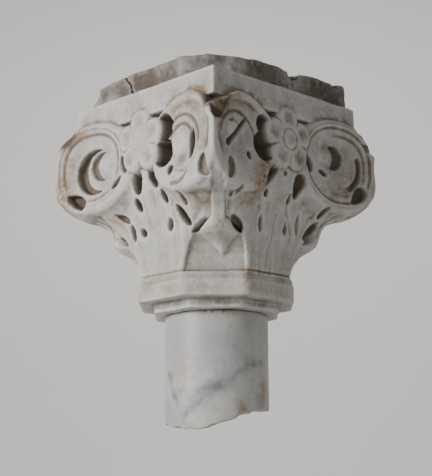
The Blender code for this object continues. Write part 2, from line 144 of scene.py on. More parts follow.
# Wear of the slab's outline, as shares of its half width, and its crack, in millimetres
SLAB_HALF = 107
SLAB_FOOT = -31.1
SLAB_OUTLINE = (
    (-0.98, -0.98), (0.49, -0.99), (0.74, -0.83), (0.89, -0.57), (0.96, -0.38),
    (0.985, 0.00), (0.92, 0.30), (1.01, 0.48), (1.04, 1.07), (0.40, 1.00),
    (-0.86, 1.01), (-1.00, 0.85), (-0.985, -0.20),
)
CRACK_TOP = -44
CRACK_LEAN = 18

# The shaft's broken end, in millimetres, as in the solid
SHAFT_FOOT = -416.2
BREAK_RISE = 18
BREAK_BACK_RISE = 12
BREAK_EDGE_RISE = 4
BREAK_HOLLOW = 5

# Chips knocked off the block (middle, radius) and off the shaft's shoulder (angle, radius)
CAPITAL_CHIPS = (
    (-38, -91.5, -262, 4), (-46, -93, -273, 7), (-38, -95, -271.5, 6.5),
    (-119, -119.5, -62, 5.5), (93, -37, -251, 3), (37.5, -91.5, -272, 3.4),
    (117, 119.5, -63, 4.5), (0, 91, -271.5, 5), (-91.5, 22, -251, 4),
)
SHAFT_CHIPS = (
    (-57, 2.6), (-48, 3), (-43, 2.3), (-36, 3.2), (-90, 2.2), (20, 2.8),
    (75, 3.4), (140, 3), (-150, 2.6),
)

# Stains: place on a face (across, level) or corner, radius in millimetres, strength
FACE_STAINS = (
    (1, 108, -100, 16, 0.45), (1, 96, -128, 15, 0.5), (1, 76, -140, 12, 0.5),
    (0, -100, -104, 16, 0.3), (0, -86, -138, 12, 0.35), (0, -112, -120, 10, 0.3),
    (0, -118, -92, 10, 0.35), (0, -126, -112, 9, 0.3), (0, 70, -62, 9, 0.5),
    (0, 40, -92, 8, 0.3), (0, 84, -92, 8, 0.3), (1, -90, -66, 9, 0.4),
    (1, -44, -150, 14, 0.9), (1, 64, -150, 9, 0.4), (1, 104, -120, 8, 0.4),
    (0, -50, -176, 10, 0.4), (0, 22, -160, 9, 0.3), (0, 62, -176, 10, 0.35),
    (0, -91, -64, 15, 0.55), (0, -100, -72, 12, 0.4), (0, -128, -134, 15, 0.85),
    (0, -116, -140, 12, 0.7), (0, -88, -160, 12, 0.5), (0, -112, -98, 9, 0.3),
    (0, 53, -71, 13, 0.45), (0, 92, -66, 15, 0.55), (0, 106, -78, 9, 0.5),
    (0, 97, -108, 12, 0.35), (0, 70, -153, 10, 0.5), (0, -64, -189, 10, 0.3),
    (0, 88, -162, 12, 0.3), (0, 118, -134, 9, 0.4),
    (1, -51, -142, 12, 1), (1, -57, -155, 11, 0.8), (1, -60, -167, 10, 0.45),
    (1, -38, -129, 10, 0.8), (1, -14, -133, 7, 0.5), (1, 20, -117, 10, 0.45),
    (1, 84, -160, 14, 0.35), (1, 120, -128, 10, 0.35), (1, 100, -66, 12, 0.3),
    (1, -106, -80, 8, 0.4), (1, 66, -190, 10, 0.35), (1, 16, -160, 10, 0.2),
    (2, -91, -64, 15, 0.5), (2, 70, -153, 12, 0.6), (2, 20, -180, 14, 0.4),
    (3, -51, -142, 14, 0.8), (3, 84, -160, 14, 0.5), (3, -104, -80, 14, 0.5),
)
CORNER_STAINS = (
    (0, 2, -70, 16, 1), (0, 3, -84, 13, 1), (0, 5, -94, 7, 0.7),
    (0, -6, -136, 9, 0.5), (0, -8, -150, 8, 0.35), (0, -14, -178, 11, 0.55),
    (0, 5, -199, 6, 1), (0, 6, -206, 5, 0.7), (0, 3, -190, 5, 0.4), (0, 12, -150, 8, 0.3),
    (1, 0, -70, 13, 0.9), (2, 0, -72, 13, 0.9), (3, 0, -72, 12, 0.8),
    (3, 4, -150, 16, 0.6), (1, 2, -150, 14, 0.4), (2, 0, -180, 14, 0.5),
)
RING_STAINS = (
    (36.9, -89, -246, 6, 0.5), (89, -36.9, -246, 7, 0.9), (89, -36.9, -258, 7, 0.4),
    (36.9, -89, -262, 8, 0.35), (-40, -90, -268, 10, 0.7), (-36.9, -89, -254, 10, 0.4),
    (60, -60, -272, 8, 0.3), (89, 10, -270, 10, 0.3),
    (0, -89, -243.5, 9, 0.5), (22, -89, -243.5, 8, 0.45), (55, -70, -243.5, 9, 0.4),
    (70, -55, -244, 9, 0.5), (89, 20, -244, 10, 0.4), (-20, -89, -252, 12, 0.4),
    (10, -89, -262, 12, 0.3), (89, -10, -262, 14, 0.35), (50, -76, -262, 10, 0.25),
    (-60, -62, -258, 12, 0.4), (62, 62, -258, 14, 0.35),
)
# Painted shade: spots that turn the floors of the deepest hollows nearly black
HOLLOW_SHADE_SPOTS = (
    (0, -103, -147, 17, 1), (0, -11, -137, 10, 0.35), (1, 110, -142, 14, 0.35),
    (1, -27, -138, 16, 0.55), (0, 40, -115, 12, 0.25), (1, -41, -112, 14, 0.4),
    (1, 57, -188, 12, 0.3), (1, -28, -157, 7, 0.5), (0, 50, -184, 8, 0.2),
)
# Level lines round the ring, partly dirt in its joints, partly painted shadow: level, strength
DIRT_AND_SHADOW_LINES = ((-242.2, 0.85), (-248.2, 0.35), (-276.6, 0.7))
# Scratches left pale on the front corner, from and to (across, level)
SCRATCHES = (
    ((9.8, -163.8), (20.8, -157.1)), ((22.5, -166), (16.5, -175)), ((12.5, -168), (13.5, -188)),
)
# Veins of the shaft as (angle, level) lines: width, strength
SHAFT_VEINS = (
    (((12, -340), (-4, -344), (-18, -351), (-36, -363)), 3.2, 1),
    (((-36, -363), (-53, -374), (-69, -389), (-84, -402)), 3.2, 1),
    (((-33, -359), (-45, -370), (-64, -378)), 9, 1),
    (((-30, -300), (-34, -309), (-31, -320), (-18, -330)), 2.6, 0.35),
    (((-18, -330), (-7, -335), (10, -340)), 2.6, 0.35),
    (((-112, -350), (-105, -358), (-100, -376), (-92, -384)), 3.6, 0.9),
    (((-100, -368), (-83, -373), (-70, -384)), 2.4, 0.5),
    (((-90, -396), (-81, -408), (-70, -414)), 3, 0.4),
    (((-60, -330), (-72, -345), (-84, -352)), 2, 0.3),
    (((40, -300), (62, -330), (90, -352), (120, -360)), 3, 0.8),
    (((150, -290), (172, -330), (200, -368), (222, -400)), 3.4, 0.9),
    (((-150, -300), (-138, -322), (-120, -340)), 2.6, 0.6),
)
SHAFT_STAINS = (
    (-17, -393, 7, 0.9), (17, -369, 9, 1), (15, -380, 9, 1), (-88, -349, 16, 0.35),
    (-30, -284, 9, 0.7), (12, -392, 6, 0.5), (120, -320, 14, 0.4), (-60, -284, 5, 0.4),
)

# Drilled hollows of the even and the odd faces: across and level of the middle, length,
# width, lean of the long axis in degrees from upright towards the right, depth, and how
# much one end is fatter
HOLES = ((
    (-102, -146.5, 34, 15, -62, 11.5, -0.45),
    (-40, -133, 19, 6.5, 45, 9, 0),
    (-29, -114, 22, 8, -14, 10, -0.2),
    (-11, -137, 29, 16, 6, 17, 0.1),
    (16, -137, 25, 13, -20, 14, 0.1),
    (-16, -163, 16, 9, -22, 11, 0),
    (-46, -173, 20, 7, -62, 7, -0.3),
    (-35, -191, 19, 8, -4, 8, 0),
    (-18, -193, 12, 9, -45, 9, 0),
    (-58, -197, 18, 8, -55, 9, 0.2),
    (29, -160, 17, 8, -18, 11, 0),
    (54, -138, 12, 11, 10, 9, 0.35),
    (61, -169, 14, 7.5, 20, 6, 0.1),
    (50, -184, 27, 10.5, -28, 12, 0),
    (27, -191, 15, 9, 18, 11, 0),
    (114.5, -144.5, 25, 15.5, -4, 6.5, -0.1),
), (
    (34, -113, 21, 10, -20, 9, 0),
    (55, -122, 13, 7, -72, 7, 0),
    (108, -143, 31, 16, 48, 10, 0.35),
    (64, -167, 13, 8, 22, 9, 0.2),
    (57, -188, 31, 12, 48, 12, 0.35),
    (15, -190, 15, 6.5, 4, 7, -0.2),
    (33, -184, 22, 6, -10, 3, 0),
    (-25, -190, 18, 7, -8, 8, 0),
    (-69, -125, 9, 8, 0, 8, 0),
    (-104, -146, 24, 13, 6, 4, 0),
    (-81, -166, 10, 8, 30, 6, 0.4),
    (-27, -138, 36, 13, 42, 14, 0.15),
    (-28, -157.5, 8.5, 8, 0, 9, 0),
    (-1, -131, 7, 5.5, 0, 7, 0),
    (21, -143, 29, 14, 12, 13, 0.3),
    (11, -158, 12, 4.5, 8, 5, 0),
))
# How much deeper than listed the hollows are cut
HOLE_DEEPER = 1.15
# Hollows shorter than this are left out of the hidden faces
LEAST_HIDDEN_HOLE = 15
# Lobes of the deep recess beside each flower: across, level, length, width, lean
RECESS_LOBES = (
    ((41, -85.5, 32, 30, -40), (40, -115, 32, 36, 0), (17, -70, 11, 17, 25)),
    ((-42, -85, 24, 25, 40), (-41, -108, 33, 38, 0), (-18, -70, 12, 15, -25)),
)
RECESS_DEPTH = 27
# Soft folds of the broad leaf on the even and the odd faces: points (across, level),
# width and depth
LEAF_FOLDS = ((
    (((-6, -150), (-4, -200), (-3, -243)), 12, 0.77),
    (((12, -152), (10, -195), (11, -243)), 11, 0.63),
    (((-27, -205), (-22, -243)), 11, 0.7),
    (((30, -200), (25, -243)), 11, 0.7),
    (((40, -165), (38, -185), (34, -243)), 9, 0.63),
    (((-70, -168), (-48, -182), (-40, -205)), 10, 0.98),
), (
    (((-4, -178), (-5, -205), (-9, -243)), 3.6, 1.8),
    (((8, -160), (11, -172), (22, -188), (24, -196)), 6, 2),
    (((-20, -168), (-17, -243)), 10, 0.77),
    (((6, -195), (7, -243)), 11, 0.7),
    (((24, -200), (20, -243)), 10, 0.7),
    (((-34, -175), (-32, -215), (-29, -243)), 10, 0.7),
    (((70, -160), (48, -176), (42, -196)), 10, 0.98),
))
# Each scroll's sunk bed: distances inside the outline where it starts and ends, depth
SCROLL_BEDS = {
    "outer_even": (8, 15, 2.2), "outer_odd": (7, 12, 1.8),
    "inner_even": (8, 16, 3), "inner_odd": (8, 15, 2.6),
}
# Each scroll's domed eye: along, level, radius, width of its shoulder, how proud it is
SCROLL_EYES = {
    "outer_even": (29.5, -110.5, 17.5, 14, 2.6), "outer_odd": (37, -103, 13, 10, 2.4),
    "inner_even": (51, -112, 20, 15, 3.4), "inner_odd": (79, -102, 14, 11, 3.2),
}
# Lines that follow the outer scrolls' outline: distance inside it, width, depth
RIM_LINES = {"outer_even": ((9, 5, 1.5), (16, 6, 2.2)), "outer_odd": ((5, 3.5, 1.2), (10.5, 5, 2.2))}
# Bands round the inner scrolls: middle (along, level), radius, width, depth, fade levels
SCROLL_ARCS = {
    "inner_even": ((51, -112, 22.5, 7, 3.4, -116, -98), (51, -112, 33, 7.5, 3.2, -124, -104)),
    "inner_odd": ((68, -112, 32, 7, 3.4, -114, -98),),
}
# Crescent wells: circles (along, level, radius) inside and outside, depth, wall
CRESCENTS = {
    "outer_even": (
        ((40, -115, 24.3), (53.5, -115.5, 28.6), 13, 3),
        ((29.5, -110.5, 17.3), (41.5, -110.5, 19), 8, 4),
    ),
    "outer_odd": (((36.5, -103, 13.9), (51.5, -101.5, 16.2), 12, 4),),
}
# Grooves along bent lines of the inner scrolls: points (along, level), width, depth
SCROLL_LINES = {
    "inner_even": (
        (((81, -130), (72, -140), (58, -144), (43, -140)), 7, 3),
        (((65, -146), (58, -152), (48, -155), (37, -154)), 8, 4),
    ),
    "inner_odd": (
        (((85, -94), (78, -91), (71, -93), (68, -97), (70, -102)), 6, 5.5),
        (((84, -123), (71, -126), (54, -118)), 8, 2.4),
    ),
}
# How far an inner scroll's outline draws in at its top: much, lowest level, from, to along
SCROLL_DRAWN_IN = ((8, -104, 66, 98), (11, -106, 60, 94))

# Noise on the finished surfaces: lattice size, amount, seed
CAPITAL_ROUGHNESS = ((26, 0.5, 1), (9, 0.34, 2), (3.6, 0.2, 3))
SLAB_ROUGHNESS = ((5, 0.30, 21), (2.6, 0.16, 22))
SHAFT_ROUGHNESS = ((24, 0.22, 41), (7, 0.10, 42))

# Places on the slab: chips (middle, radius), pale rubble and dark patches (with strength); the dark patches
# at the front corner are painted shade above the abacus corner
SLAB_CHIPS = (
    (104, -44, 1, 7), (97, 32, 0, 9), (108, 96, -1, 6),
    (-28, -109, 1, 5), (60, -108, 2, 6), (-92, -106, 0, 6),
)
SLAB_RUBBLE = (
    (56, -104, -14, 15, 1), (92, -80, -18, 16, 1), (-70, -106, -24, 12, 0.8),
    (20, -106, -6, 12, 0.5), (104, -20, -26, 12, 0.5), (100, -62, -14, 15, 0.9),
    (102, 20, -14, 15, 1), (103, 36, -16, 12, 0.9), (-104, -104, -24, 16, 1),
    (78, -96, -20, 14, 0.6), (0, 106, -14, 20, 0.8), (-104, 30, -16, 24, 0.8),
)
SLAB_DARK_AND_SHADE = ((74, -94, -4, 16, 1), (88, -76, -2, 10, 0.7), (-40, -106, -30, 10, 0.4), (40, 106, -8, 20, 0.7))

# Box that the block is sculpted in: half width, foot and head
GRID_HALF = 141
GRID_FOOT = -286
GRID_HEAD = -27

# Colours as linear red, green and blue
MARBLE_COOL = (0.62, 0.615, 0.60)
MARBLE_WARM = (0.69, 0.675, 0.64)
BROWN_CLOUD = (0.515, 0.462, 0.39)
GREY_STREAK = (0.45, 0.45, 0.445)
FINE_GRAIN = (0.42, 0.40, 0.37)
SPECKLE = (0.43, 0.395, 0.345)
# Paler raised edges, partly wear, partly painted highlight; browner creases, partly dirt, partly painted
# shade
WORN_EDGE_AND_HIGHLIGHT = (0.80, 0.785, 0.75)
GROOVE_DIRT_AND_SHADE = (0.265, 0.20, 0.135)
OCHRE = (0.34, 0.19, 0.085)
# Dark lines: painted shade in the corner notches, and round the ring partly dirt, partly painted shadow
LINE_DIRT_AND_SHADE = (0.13, 0.088, 0.058)
# Colour of the hollows, partly soil, partly painted shade
HOLLOW_SOIL_AND_SHADE = ((0.115, 0.088, 0.066), (0.20, 0.155, 0.11))
# Painted shade for the floors of the deepest hollows
HOLLOW_SHADE_BLACK = (0.035, 0.02, 0.01)
SCRATCH = (0.84, 0.83, 0.80)
BED_STONE = ((0.132, 0.108, 0.082), (0.20, 0.178, 0.151))
BED_CLOUD = (0.19, 0.165, 0.14)
BED_RUBBLE = (0.47, 0.455, 0.425)
# Dark grey patches, at the front corner painted shade above the abacus corner
BED_DARK_AND_SHADE = (0.13, 0.127, 0.12)
BED_SPECKLE = (0.17, 0.15, 0.13)
# Painted shade of the slab's hollows; paler raised edges, partly wear, partly painted highlight
BED_GROOVE_SHADE = (0.12, 0.10, 0.08)
BED_EDGE_WEAR_AND_HIGHLIGHT = (0.46, 0.44, 0.40)
SHAFT_MARBLE = ((0.50, 0.505, 0.51), (0.67, 0.66, 0.635))
SHAFT_CLOUD = (0.43, 0.435, 0.45)
VEIN = (0.22, 0.225, 0.245)
RUST = (0.40, 0.235, 0.11)
BROKEN_MARBLE = (0.58, 0.54, 0.47)
SHAFT_SPECKLE = (0.40, 0.385, 0.36)
FLOOR_COLOUR = (0.72, 0.71, 0.69)
SKY_COLOUR = (0.9, 0.93, 1)
SKY_STRENGTH = 0.08

# Lights: name, place, aim, size, power, colour
LIGHTS = (
    ("key", (-0.45, -2.05, 0.22), (0, 0, -0.18), 0.7, 43, (1, 0.985, 0.965)),
    ("fill", (2.1, -0.6, 0.1), (0, 0, -0.18), 1.6, 4.6, (0.98, 0.99, 1)),
    ("wall light", (-1, 1, 1.3), (-2.6, 2.6, -0.2), 1.2, 44, (1, 1, 1)),
)


def table_at(levels, table):
    """Values of a (level, value) table at an array of levels."""
    rows = sorted(table)
    return np.interp(levels, [row[0] for row in rows], [row[1] for row in rows])


def ramp(value, start, end):
    """Smooth step from 0 at start to 1 at end."""
    share = np.clip((value - start) / (end - start), 0, 1)
    return share * share * (3 - 2 * share)


def smooth_max(a, b, blend):
    """The larger of two fields, rounded over where they meet."""
    near = np.maximum(blend - np.abs(a - b), 0) / blend
    return np.maximum(a, b) + near * near * (blend * 0.25)


def oval(across, up, length, width, lean, fatter=0):
    """Rough distance outside a leaning oval, negative inside it."""
    turn = math.radians(lean)
    along = across * math.sin(turn) + up * math.cos(turn)
    aside = across * math.cos(turn) - up * math.sin(turn)
    aside = aside / np.clip(1 + fatter * along / (length / 2), 0.3, 2)
    a = along / (length / 2)
    b = aside / (width / 2)
    near = np.sqrt(a * a + b * b) + 1e-6
    slope = np.sqrt((a / (length / 2)) ** 2 + (b / (width / 2)) ** 2) + 1e-6
    return near * (near - 1) / slope


def well(distance, depth, wall=0.30, lip=0.8):
    """Depth of a drilled well from the distance outside its mouth."""
    inside = np.clip((lip - distance) / (lip + depth * wall), 0, 1)
    return depth * np.sin(inside * math.pi / 2) ** 1.2


def groove(distance, width, depth):
    """Depth of a soft groove from the distance to its line."""
    share = np.clip(1 - np.abs(distance) / (width / 2), 0, 1)
    return depth * share * share * (3 - 2 * share)


def segment(across, up, start, end):
    """Distance to a straight line between two points, and the share along it."""
    dx, dz = end[0] - start[0], end[1] - start[1]
    share = ((across - start[0]) * dx + (up - start[1]) * dz) / (dx * dx + dz * dz)
    share = np.clip(share, 0, 1)
    return np.hypot(across - start[0] - share * dx, up - start[1] - share * dz), share


def line_groove(across, up, points, width, depth):
    """Depth of a soft groove along a bent line."""
    cut = np.zeros(np.broadcast(across, up).shape)
    for start, end in zip(points, points[1:]):
        cut = np.maximum(cut, groove(segment(across, up, start, end)[0], width, depth))
    return cut


def crescent(along, up, inner, outer, depth, wall):
    """Well between two circles, deepest beside the inner one. A circle is (s, z, radius)."""
    from_inner = np.hypot(along - inner[0], up - inner[1]) - inner[2]
    from_outer = outer[2] - np.hypot(along - outer[0], up - outer[1])
    inside = np.minimum(from_inner * 2.2, from_outer)
    return depth * ramp(inside, -0.5, wall)


def disc_depth_inside(s, z, wide=DISC_WIDE):
    """How far inside a scroll's outline a point of its plane lies."""
    along = s - DISC_MIDDLE[0]
    up = z - DISC_MIDDLE[1]
    half = np.where(up > 0, DISC_ABOVE, DISC_BELOW)
    power = DISC_POWER
    share = (np.abs(along / wide) ** power + np.abs(up / half) ** power) ** (1 / power)
    away = np.hypot(along, up)
    inside = away * (1 / np.maximum(share, 0.02) - 1)
    return np.where(share < 0.05, 50, inside)


def volute_relief(kind, s, z, q):
    """Depth of one scroll's carving below its plane; s runs towards the corner."""
    start, end, depth = SCROLL_BEDS[kind]
    cut = depth * ramp(q, start, end)
    if kind == "outer_even":
        cut = cut * ramp(s, 10, 40)
    elif kind == "outer_odd":
        cut += groove(q - 20, 8, 2.4) * ramp(s, 40, 70)
        cut += 2.2 * ramp(17 - np.hypot(s - 51, z + 102), -9, 3)
    else:
        cut = cut * ramp(z, -160 if kind == "inner_even" else -150, -120)
    for inside, width, depth in RIM_LINES.get(kind, ()):
        cut += groove(q - inside, width, depth)
    for along, up, radius, width, depth, low, high in SCROLL_ARCS.get(kind, ()):
        cut += groove(np.hypot(s - along, z - up) - radius, width, depth) * ramp(z, low, high)
    along, up, radius, shoulder, proud = SCROLL_EYES[kind]
    cut -= proud * ramp(radius - np.hypot(s - along, z - up), 0, shoulder)
    for inner, outer, depth, wall in CRESCENTS.get(kind, ()):
        cut = np.maximum(cut, crescent(s, z, inner, outer, depth, wall))
    for points, width, depth in SCROLL_LINES.get(kind, ()):
        cut = np.maximum(cut, line_groove(s, z, points, width, depth))
    if kind == "outer_odd":
        roll = np.hypot(s - 61, z + 110)
        turn = np.arctan2(z + 110, s - 61)
        fade = ramp(turn, -2.3, -0.9) * (1 - ramp(turn, 0.25, 0.6))
        channel = (6 + 4.5 * ramp(s, 72, 86)) * fade * ramp(5.8 - np.abs(roll - 29.5), 0, 3.4)
        cut = np.maximum(cut, channel)
    elif kind == "inner_even":
        bend = s - 74 + ((z + 115) / 16) ** 2 * 2
        cut = np.maximum(cut, well(oval(bend, z + 115.5, 35, 11, 3, -0.1), 11.5, 0.22))
    elif kind == "inner_odd":
        slit, share = segment(s, z, (87, -119), (52, -83))
        cut = np.maximum(cut, well(slit - 4 + 2.2 * share, 11, 0.25))
    return cut


def flower_front(u, z, face):
    """How far out the flower's surface lies, very low outside its outline."""
    up = z - FLOWER_MIDDLE
    away = np.hypot(u, up)
    lobe = math.tau / 5
    angle = np.arctan2(up, u) - math.tau / 4 - 0.06 * (face % 2)
    number = np.floor((angle + lobe / 2) / lobe)
    off_petal = (angle + lobe / 2) % lobe - lobe / 2
    along = away * np.cos(off_petal)
    aside = away * np.sin(off_petal)
    longer = 1 + 0.05 * np.sin(number * 2.4 + face)
    outline = np.hypot((along - 21) / (1.10 * longer), aside / 1.06) - 15.8
    outline = np.minimum(outline, away - 20.5)
    front = 122.6 - 0.0012 * np.minimum(away, 40) ** 2
    front = front - 2.3 * (1 - ramp(-outline, 0, 4.5)) ** 2
    between = np.abs(np.abs(off_petal) - lobe / 2) * away
    worn = 1 if face % 2 else 0.45
    front = front - groove(between, 4.4, 1.3 + 0.5 * worn) * ramp(away, 17, 26)
    dish = ramp(9.5 - np.abs(aside), 0, 7) * ramp(away, 15, 21) * ramp(34.5 - away, 0, 7)
    front = front - (0.5 + 0.4 * worn) * dish
    heart = np.hypot(u * 1.12, up) if face % 2 else away * 1.15
    front = front - groove(heart - 12.3, 3.8, 1.5) * worn ** 2
    front = front + 0.7 * ramp(11.5 - heart, 0, 3) * worn
    dots = np.sin(u * 1.9 + 1.3 * np.sin(up * 0.9)) * np.sin(up * 1.8 + 1.1 * np.sin(u * 1.1))
    front = front + 0.7 * dots * ramp(11 - heart, 0, 3) * worn
    return front - np.clip(outline, 0, None) * 5


def leaf_folds(kind, u, z):
    """Soft folds of the broad face leaf between its hollows."""
    cut = np.zeros(np.broadcast(u, z).shape)
    for points, width, depth in LEAF_FOLDS[kind]:
        cut = np.maximum(cut, line_groove(u, z, points, width, depth))
    return cut + np.sin(u * 0.42 + np.sin(z * 0.045) * 2) * 0.25 * ramp(-z, 150, 190)


def face_maps(face, u, z):
    """Surface of one face as distances out from the axis: carved, and without hollows."""
    u, z = u[:, None], z[None, :]
    across = u + 0 * z
    wide = np.abs(across)
    level = z + 0 * u
    kind = face % 2
    inner = (across > 0) == (kind == 0)
    skin = table_at(level, SKIN)
    follow = table_at(level, SKIN_FOLLOW)
    skin = skin + np.maximum(wide - VOLUTE_START, 0) * math.tan(VOLUTE_TILT) * follow
    edge = 34 + np.where(inner, 0.42, 0.30) * np.clip(level + 243, 0, 60)
    leaf = 1 - ramp(wide, edge - np.where(inner, 4, 1.6), edge + 0.8)
    skin = skin + np.where(inner, 1.9, 2.8) * leaf * ramp(-level, 182, 205)
    skin = skin - leaf_folds(kind, across, level)
    skin = skin - groove(level - RING_TOP - 0.6, 3.4, 2.2)
    s = (wide - VOLUTE_START) / math.cos(VOLUTE_TILT)
    plane = ABACUS_HALF + s * math.sin(VOLUTE_TILT)
    disc = disc_depth_inside(s, level)
    band = np.minimum((-63.5 - 0.52 * np.maximum(19 - s, 0) - level) * 0.89, (level + 124) * 0.8)
    band = np.where(s < 19, np.minimum(band, 30), -50)
    much, lowest, start, end = SCROLL_DRAWN_IN[kind]
    disc = disc - np.where(inner, much, 0) * ramp(level, lowest, lowest + 30) * ramp(s, start, end)
    q = np.maximum(disc, band)
    rim = np.clip(DISC_EDGE - q, 0, None)
    rounded = DISC_EDGE - np.sqrt(np.maximum(DISC_EDGE ** 2 - np.minimum(rim, DISC_EDGE) ** 2, 0))
    fall_rate = 3.5 - 1.4 * ramp(-level, 135, 155)
    fall = np.where(q < 0, DISC_EDGE - q * fall_rate, rounded)
    from_lines = disc_depth_inside(s, level, LINES_WIDE)
    parity = ("even", "odd")[kind]
    outer_relief = volute_relief("outer_" + parity, s, level, from_lines)
    relief = np.where(inner, volute_relief("inner_" + parity, s, level, from_lines), outer_relief)
    relief = relief * ramp(s, 2, 12) * ramp(118.5 - s, 0, 6)
    blend = 2.5 + 14 * ramp(-level, 122, 156)
    plain = smooth_max(plane - fall, skin, blend)
    scroll = plane - fall - relief * ramp(disc, -2, 2)
    carved = smooth_max(scroll, np.minimum(skin, plane - relief), blend)
    lobes = np.full(across.shape, GRID_HALF)
    for middle, up, length, width, lean in RECESS_LOBES[kind]:
        lobes = np.minimum(lobes, oval(across - middle, level - up, length, width, lean))
    carved = np.minimum(carved, plain - well(lobes, RECESS_DEPTH, 0.14, 0.5))
    for middle, up, length, width, lean, depth, fatter in HOLES[kind]:
        if face > 1 and length < LEAST_HIDDEN_HOLE:
            continue
        hole = oval(across - middle, level - up, length, width, lean, fatter)
        carved = np.minimum(carved, plain - well(hole, depth * HOLE_DEEPER, 0.2))
    flower = flower_front(across, level, face)
    carved = smooth_max(carved, flower, 0.8)
    plain = smooth_max(plain, flower, 0.8)
    return carved, plain


def corner_map(corner, v, z):
    """Reach of one corner along its diagonal: carved, and without hollows."""
    v, z = v[:, None], z[None, :]
    across = v + 0 * z
    level = z + 0 * v
    lean = CORNER_LEAN[corner]
    off = across - lean
    aside = np.abs(off)
    narrow = table_at(level, RIDGE_HALF)
    notch_level = level if corner == 0 else level - 9 * ramp(level, -125, -105)
    ridge = table_at(notch_level, RIDGE) - 0.02 * aside ** 2 + 5 * np.maximum(aside - narrow, 0)
    ridge = np.where(level > -166, ridge, 60)
    hood = table_at(level, STEM) - 5 - 0.075 * np.maximum(aside - 15, 0) ** 2
    hood = hood + 3 * np.maximum(level + 167, 0) * ramp(aside, 6, 12)
    foot = -188 - 0.7 * np.maximum(aside - 8, 0)
    hood = hood - 60 * ramp(foot - level, -1, 2.5)
    stem = table_at(level, STEM) - 0.012 * off ** 2 - 40 * ramp(aside, 7, 9.5)
    stem = stem - 60 * ramp(-level, 198, 201)
    stem = np.where(level > -160, 60, stem)
    side = -1 if corner % 2 else 1
    turned = across * side
    niche = ramp(turned - table_at(level, NICHE_LEFT), 0, 1.5)
    niche = niche * ramp(table_at(level, NICHE_RIGHT) - turned, 0, 1.8) * ramp(-level, 190, 194)
    panel = table_at(level, PANEL) + NICHE_PROUD - NICHE_DEPTH * niche
    panel = np.where(level > -155, 60, panel)
    middle = np.interp(level, (-224, -196), (lean + 4, lean))
    half = table_at(level, NOSE_HALF)
    off_tip = np.abs(across - middle)
    nose = table_at(level, NOSE) - 7.5 * (off_tip / half) ** 2 * ramp(half, 2, 14)
    nose = nose - 25 * ramp(off_tip, half - 2, half + 3)
    nose = np.where(level > -186, 60, nose)
    reach = np.maximum(np.maximum(panel, nose), np.maximum(stem, hood))
    reach = np.maximum(reach, ridge)
    reach = reach - groove(level + 167.5, 3.6, 1.8) * (1 - ramp(aside, 8, 11))
    hook, share = segment(across, level, (lean - side * 13, -190), (lean - side * 28.5, -202.5))
    hollow = oval(across - lean - side * 20, level + 194.5, 19, 11.5, -side * 28, -side * 0.1)
    pit = oval(across - lean - side * 14.5, level + 167, 6, 5, 40)
    carved = reach - well(hook - 0.7 - 9 * share * (1 - share), 7, 0.2)
    carved = carved - well(hollow, 12, 0.28) - well(pit, 4.5)
    carved = np.where(level > -62, 400, carved)
    return carved, np.where(level > -62, 400, reach)


def steepness(surface, step):
    """Length of the slope vector of a map, to turn height into distance."""
    du, dz = np.gradient(surface, step, step)
    return np.clip(np.sqrt(1 + du * du + dz * dz), 1, 2.4)


def axis_nodes(low, high, step):
    """Evenly spaced grid places, the same either side of the middle."""
    count = int(math.ceil((high - low) / step)) + 1
    return (low + high) / 2 + (np.arange(count) - (count - 1) / 2) * step


def box_field(x, y, z, half, low, high, worn):
    """Distance to an upright square block with rounded edges."""
    dx = np.abs(x) - (half - worn)
    dy = np.abs(y) - (half - worn)
    dz = np.abs(z - (low + high) / 2) - ((high - low) / 2 - worn)
    out = np.sqrt(np.maximum(dx, 0) ** 2 + np.maximum(dy, 0) ** 2 + np.maximum(dz, 0) ** 2)
    return out + np.minimum(np.maximum(np.maximum(dx, dy), dz), 0) - worn


def octagon(x, y, worn):
    """Distance out to a regular octagon's sides, with softened arrises."""
    field = None
    for i in range(4):
        angle = i * math.tau / 8
        side = np.abs(x * math.cos(angle) + y * math.sin(angle))
        field = side if field is None else smooth_max(field, side, worn)
    return field


def chip_off(field, xs, ys, zs, middle, radius):
    """Take a rough ball out of a field, changing it in place."""
    near = []
    for nodes, place in zip((xs, ys, zs), middle):
        near.append(np.flatnonzero(np.abs(nodes - place) < radius + 4))
    if min(len(part) for part in near) == 0:
        return
    box = tuple(slice(part[0], part[-1] + 1) for part in near)
    x, y, z = xs[box[0]][:, None, None], ys[box[1]][None, :, None], zs[box[2]][None, None, :]
    away = np.sqrt((x - middle[0]) ** 2 + (y - middle[1]) ** 2 + (z - middle[2]) ** 2)
    away = away + 0.6 * np.sin(x * 1.3 + y * 0.9) + 0.5 * np.sin(z * 1.7 - x * 0.8)
    field[box] = np.maximum(field[box], (radius - away).astype(np.float32))


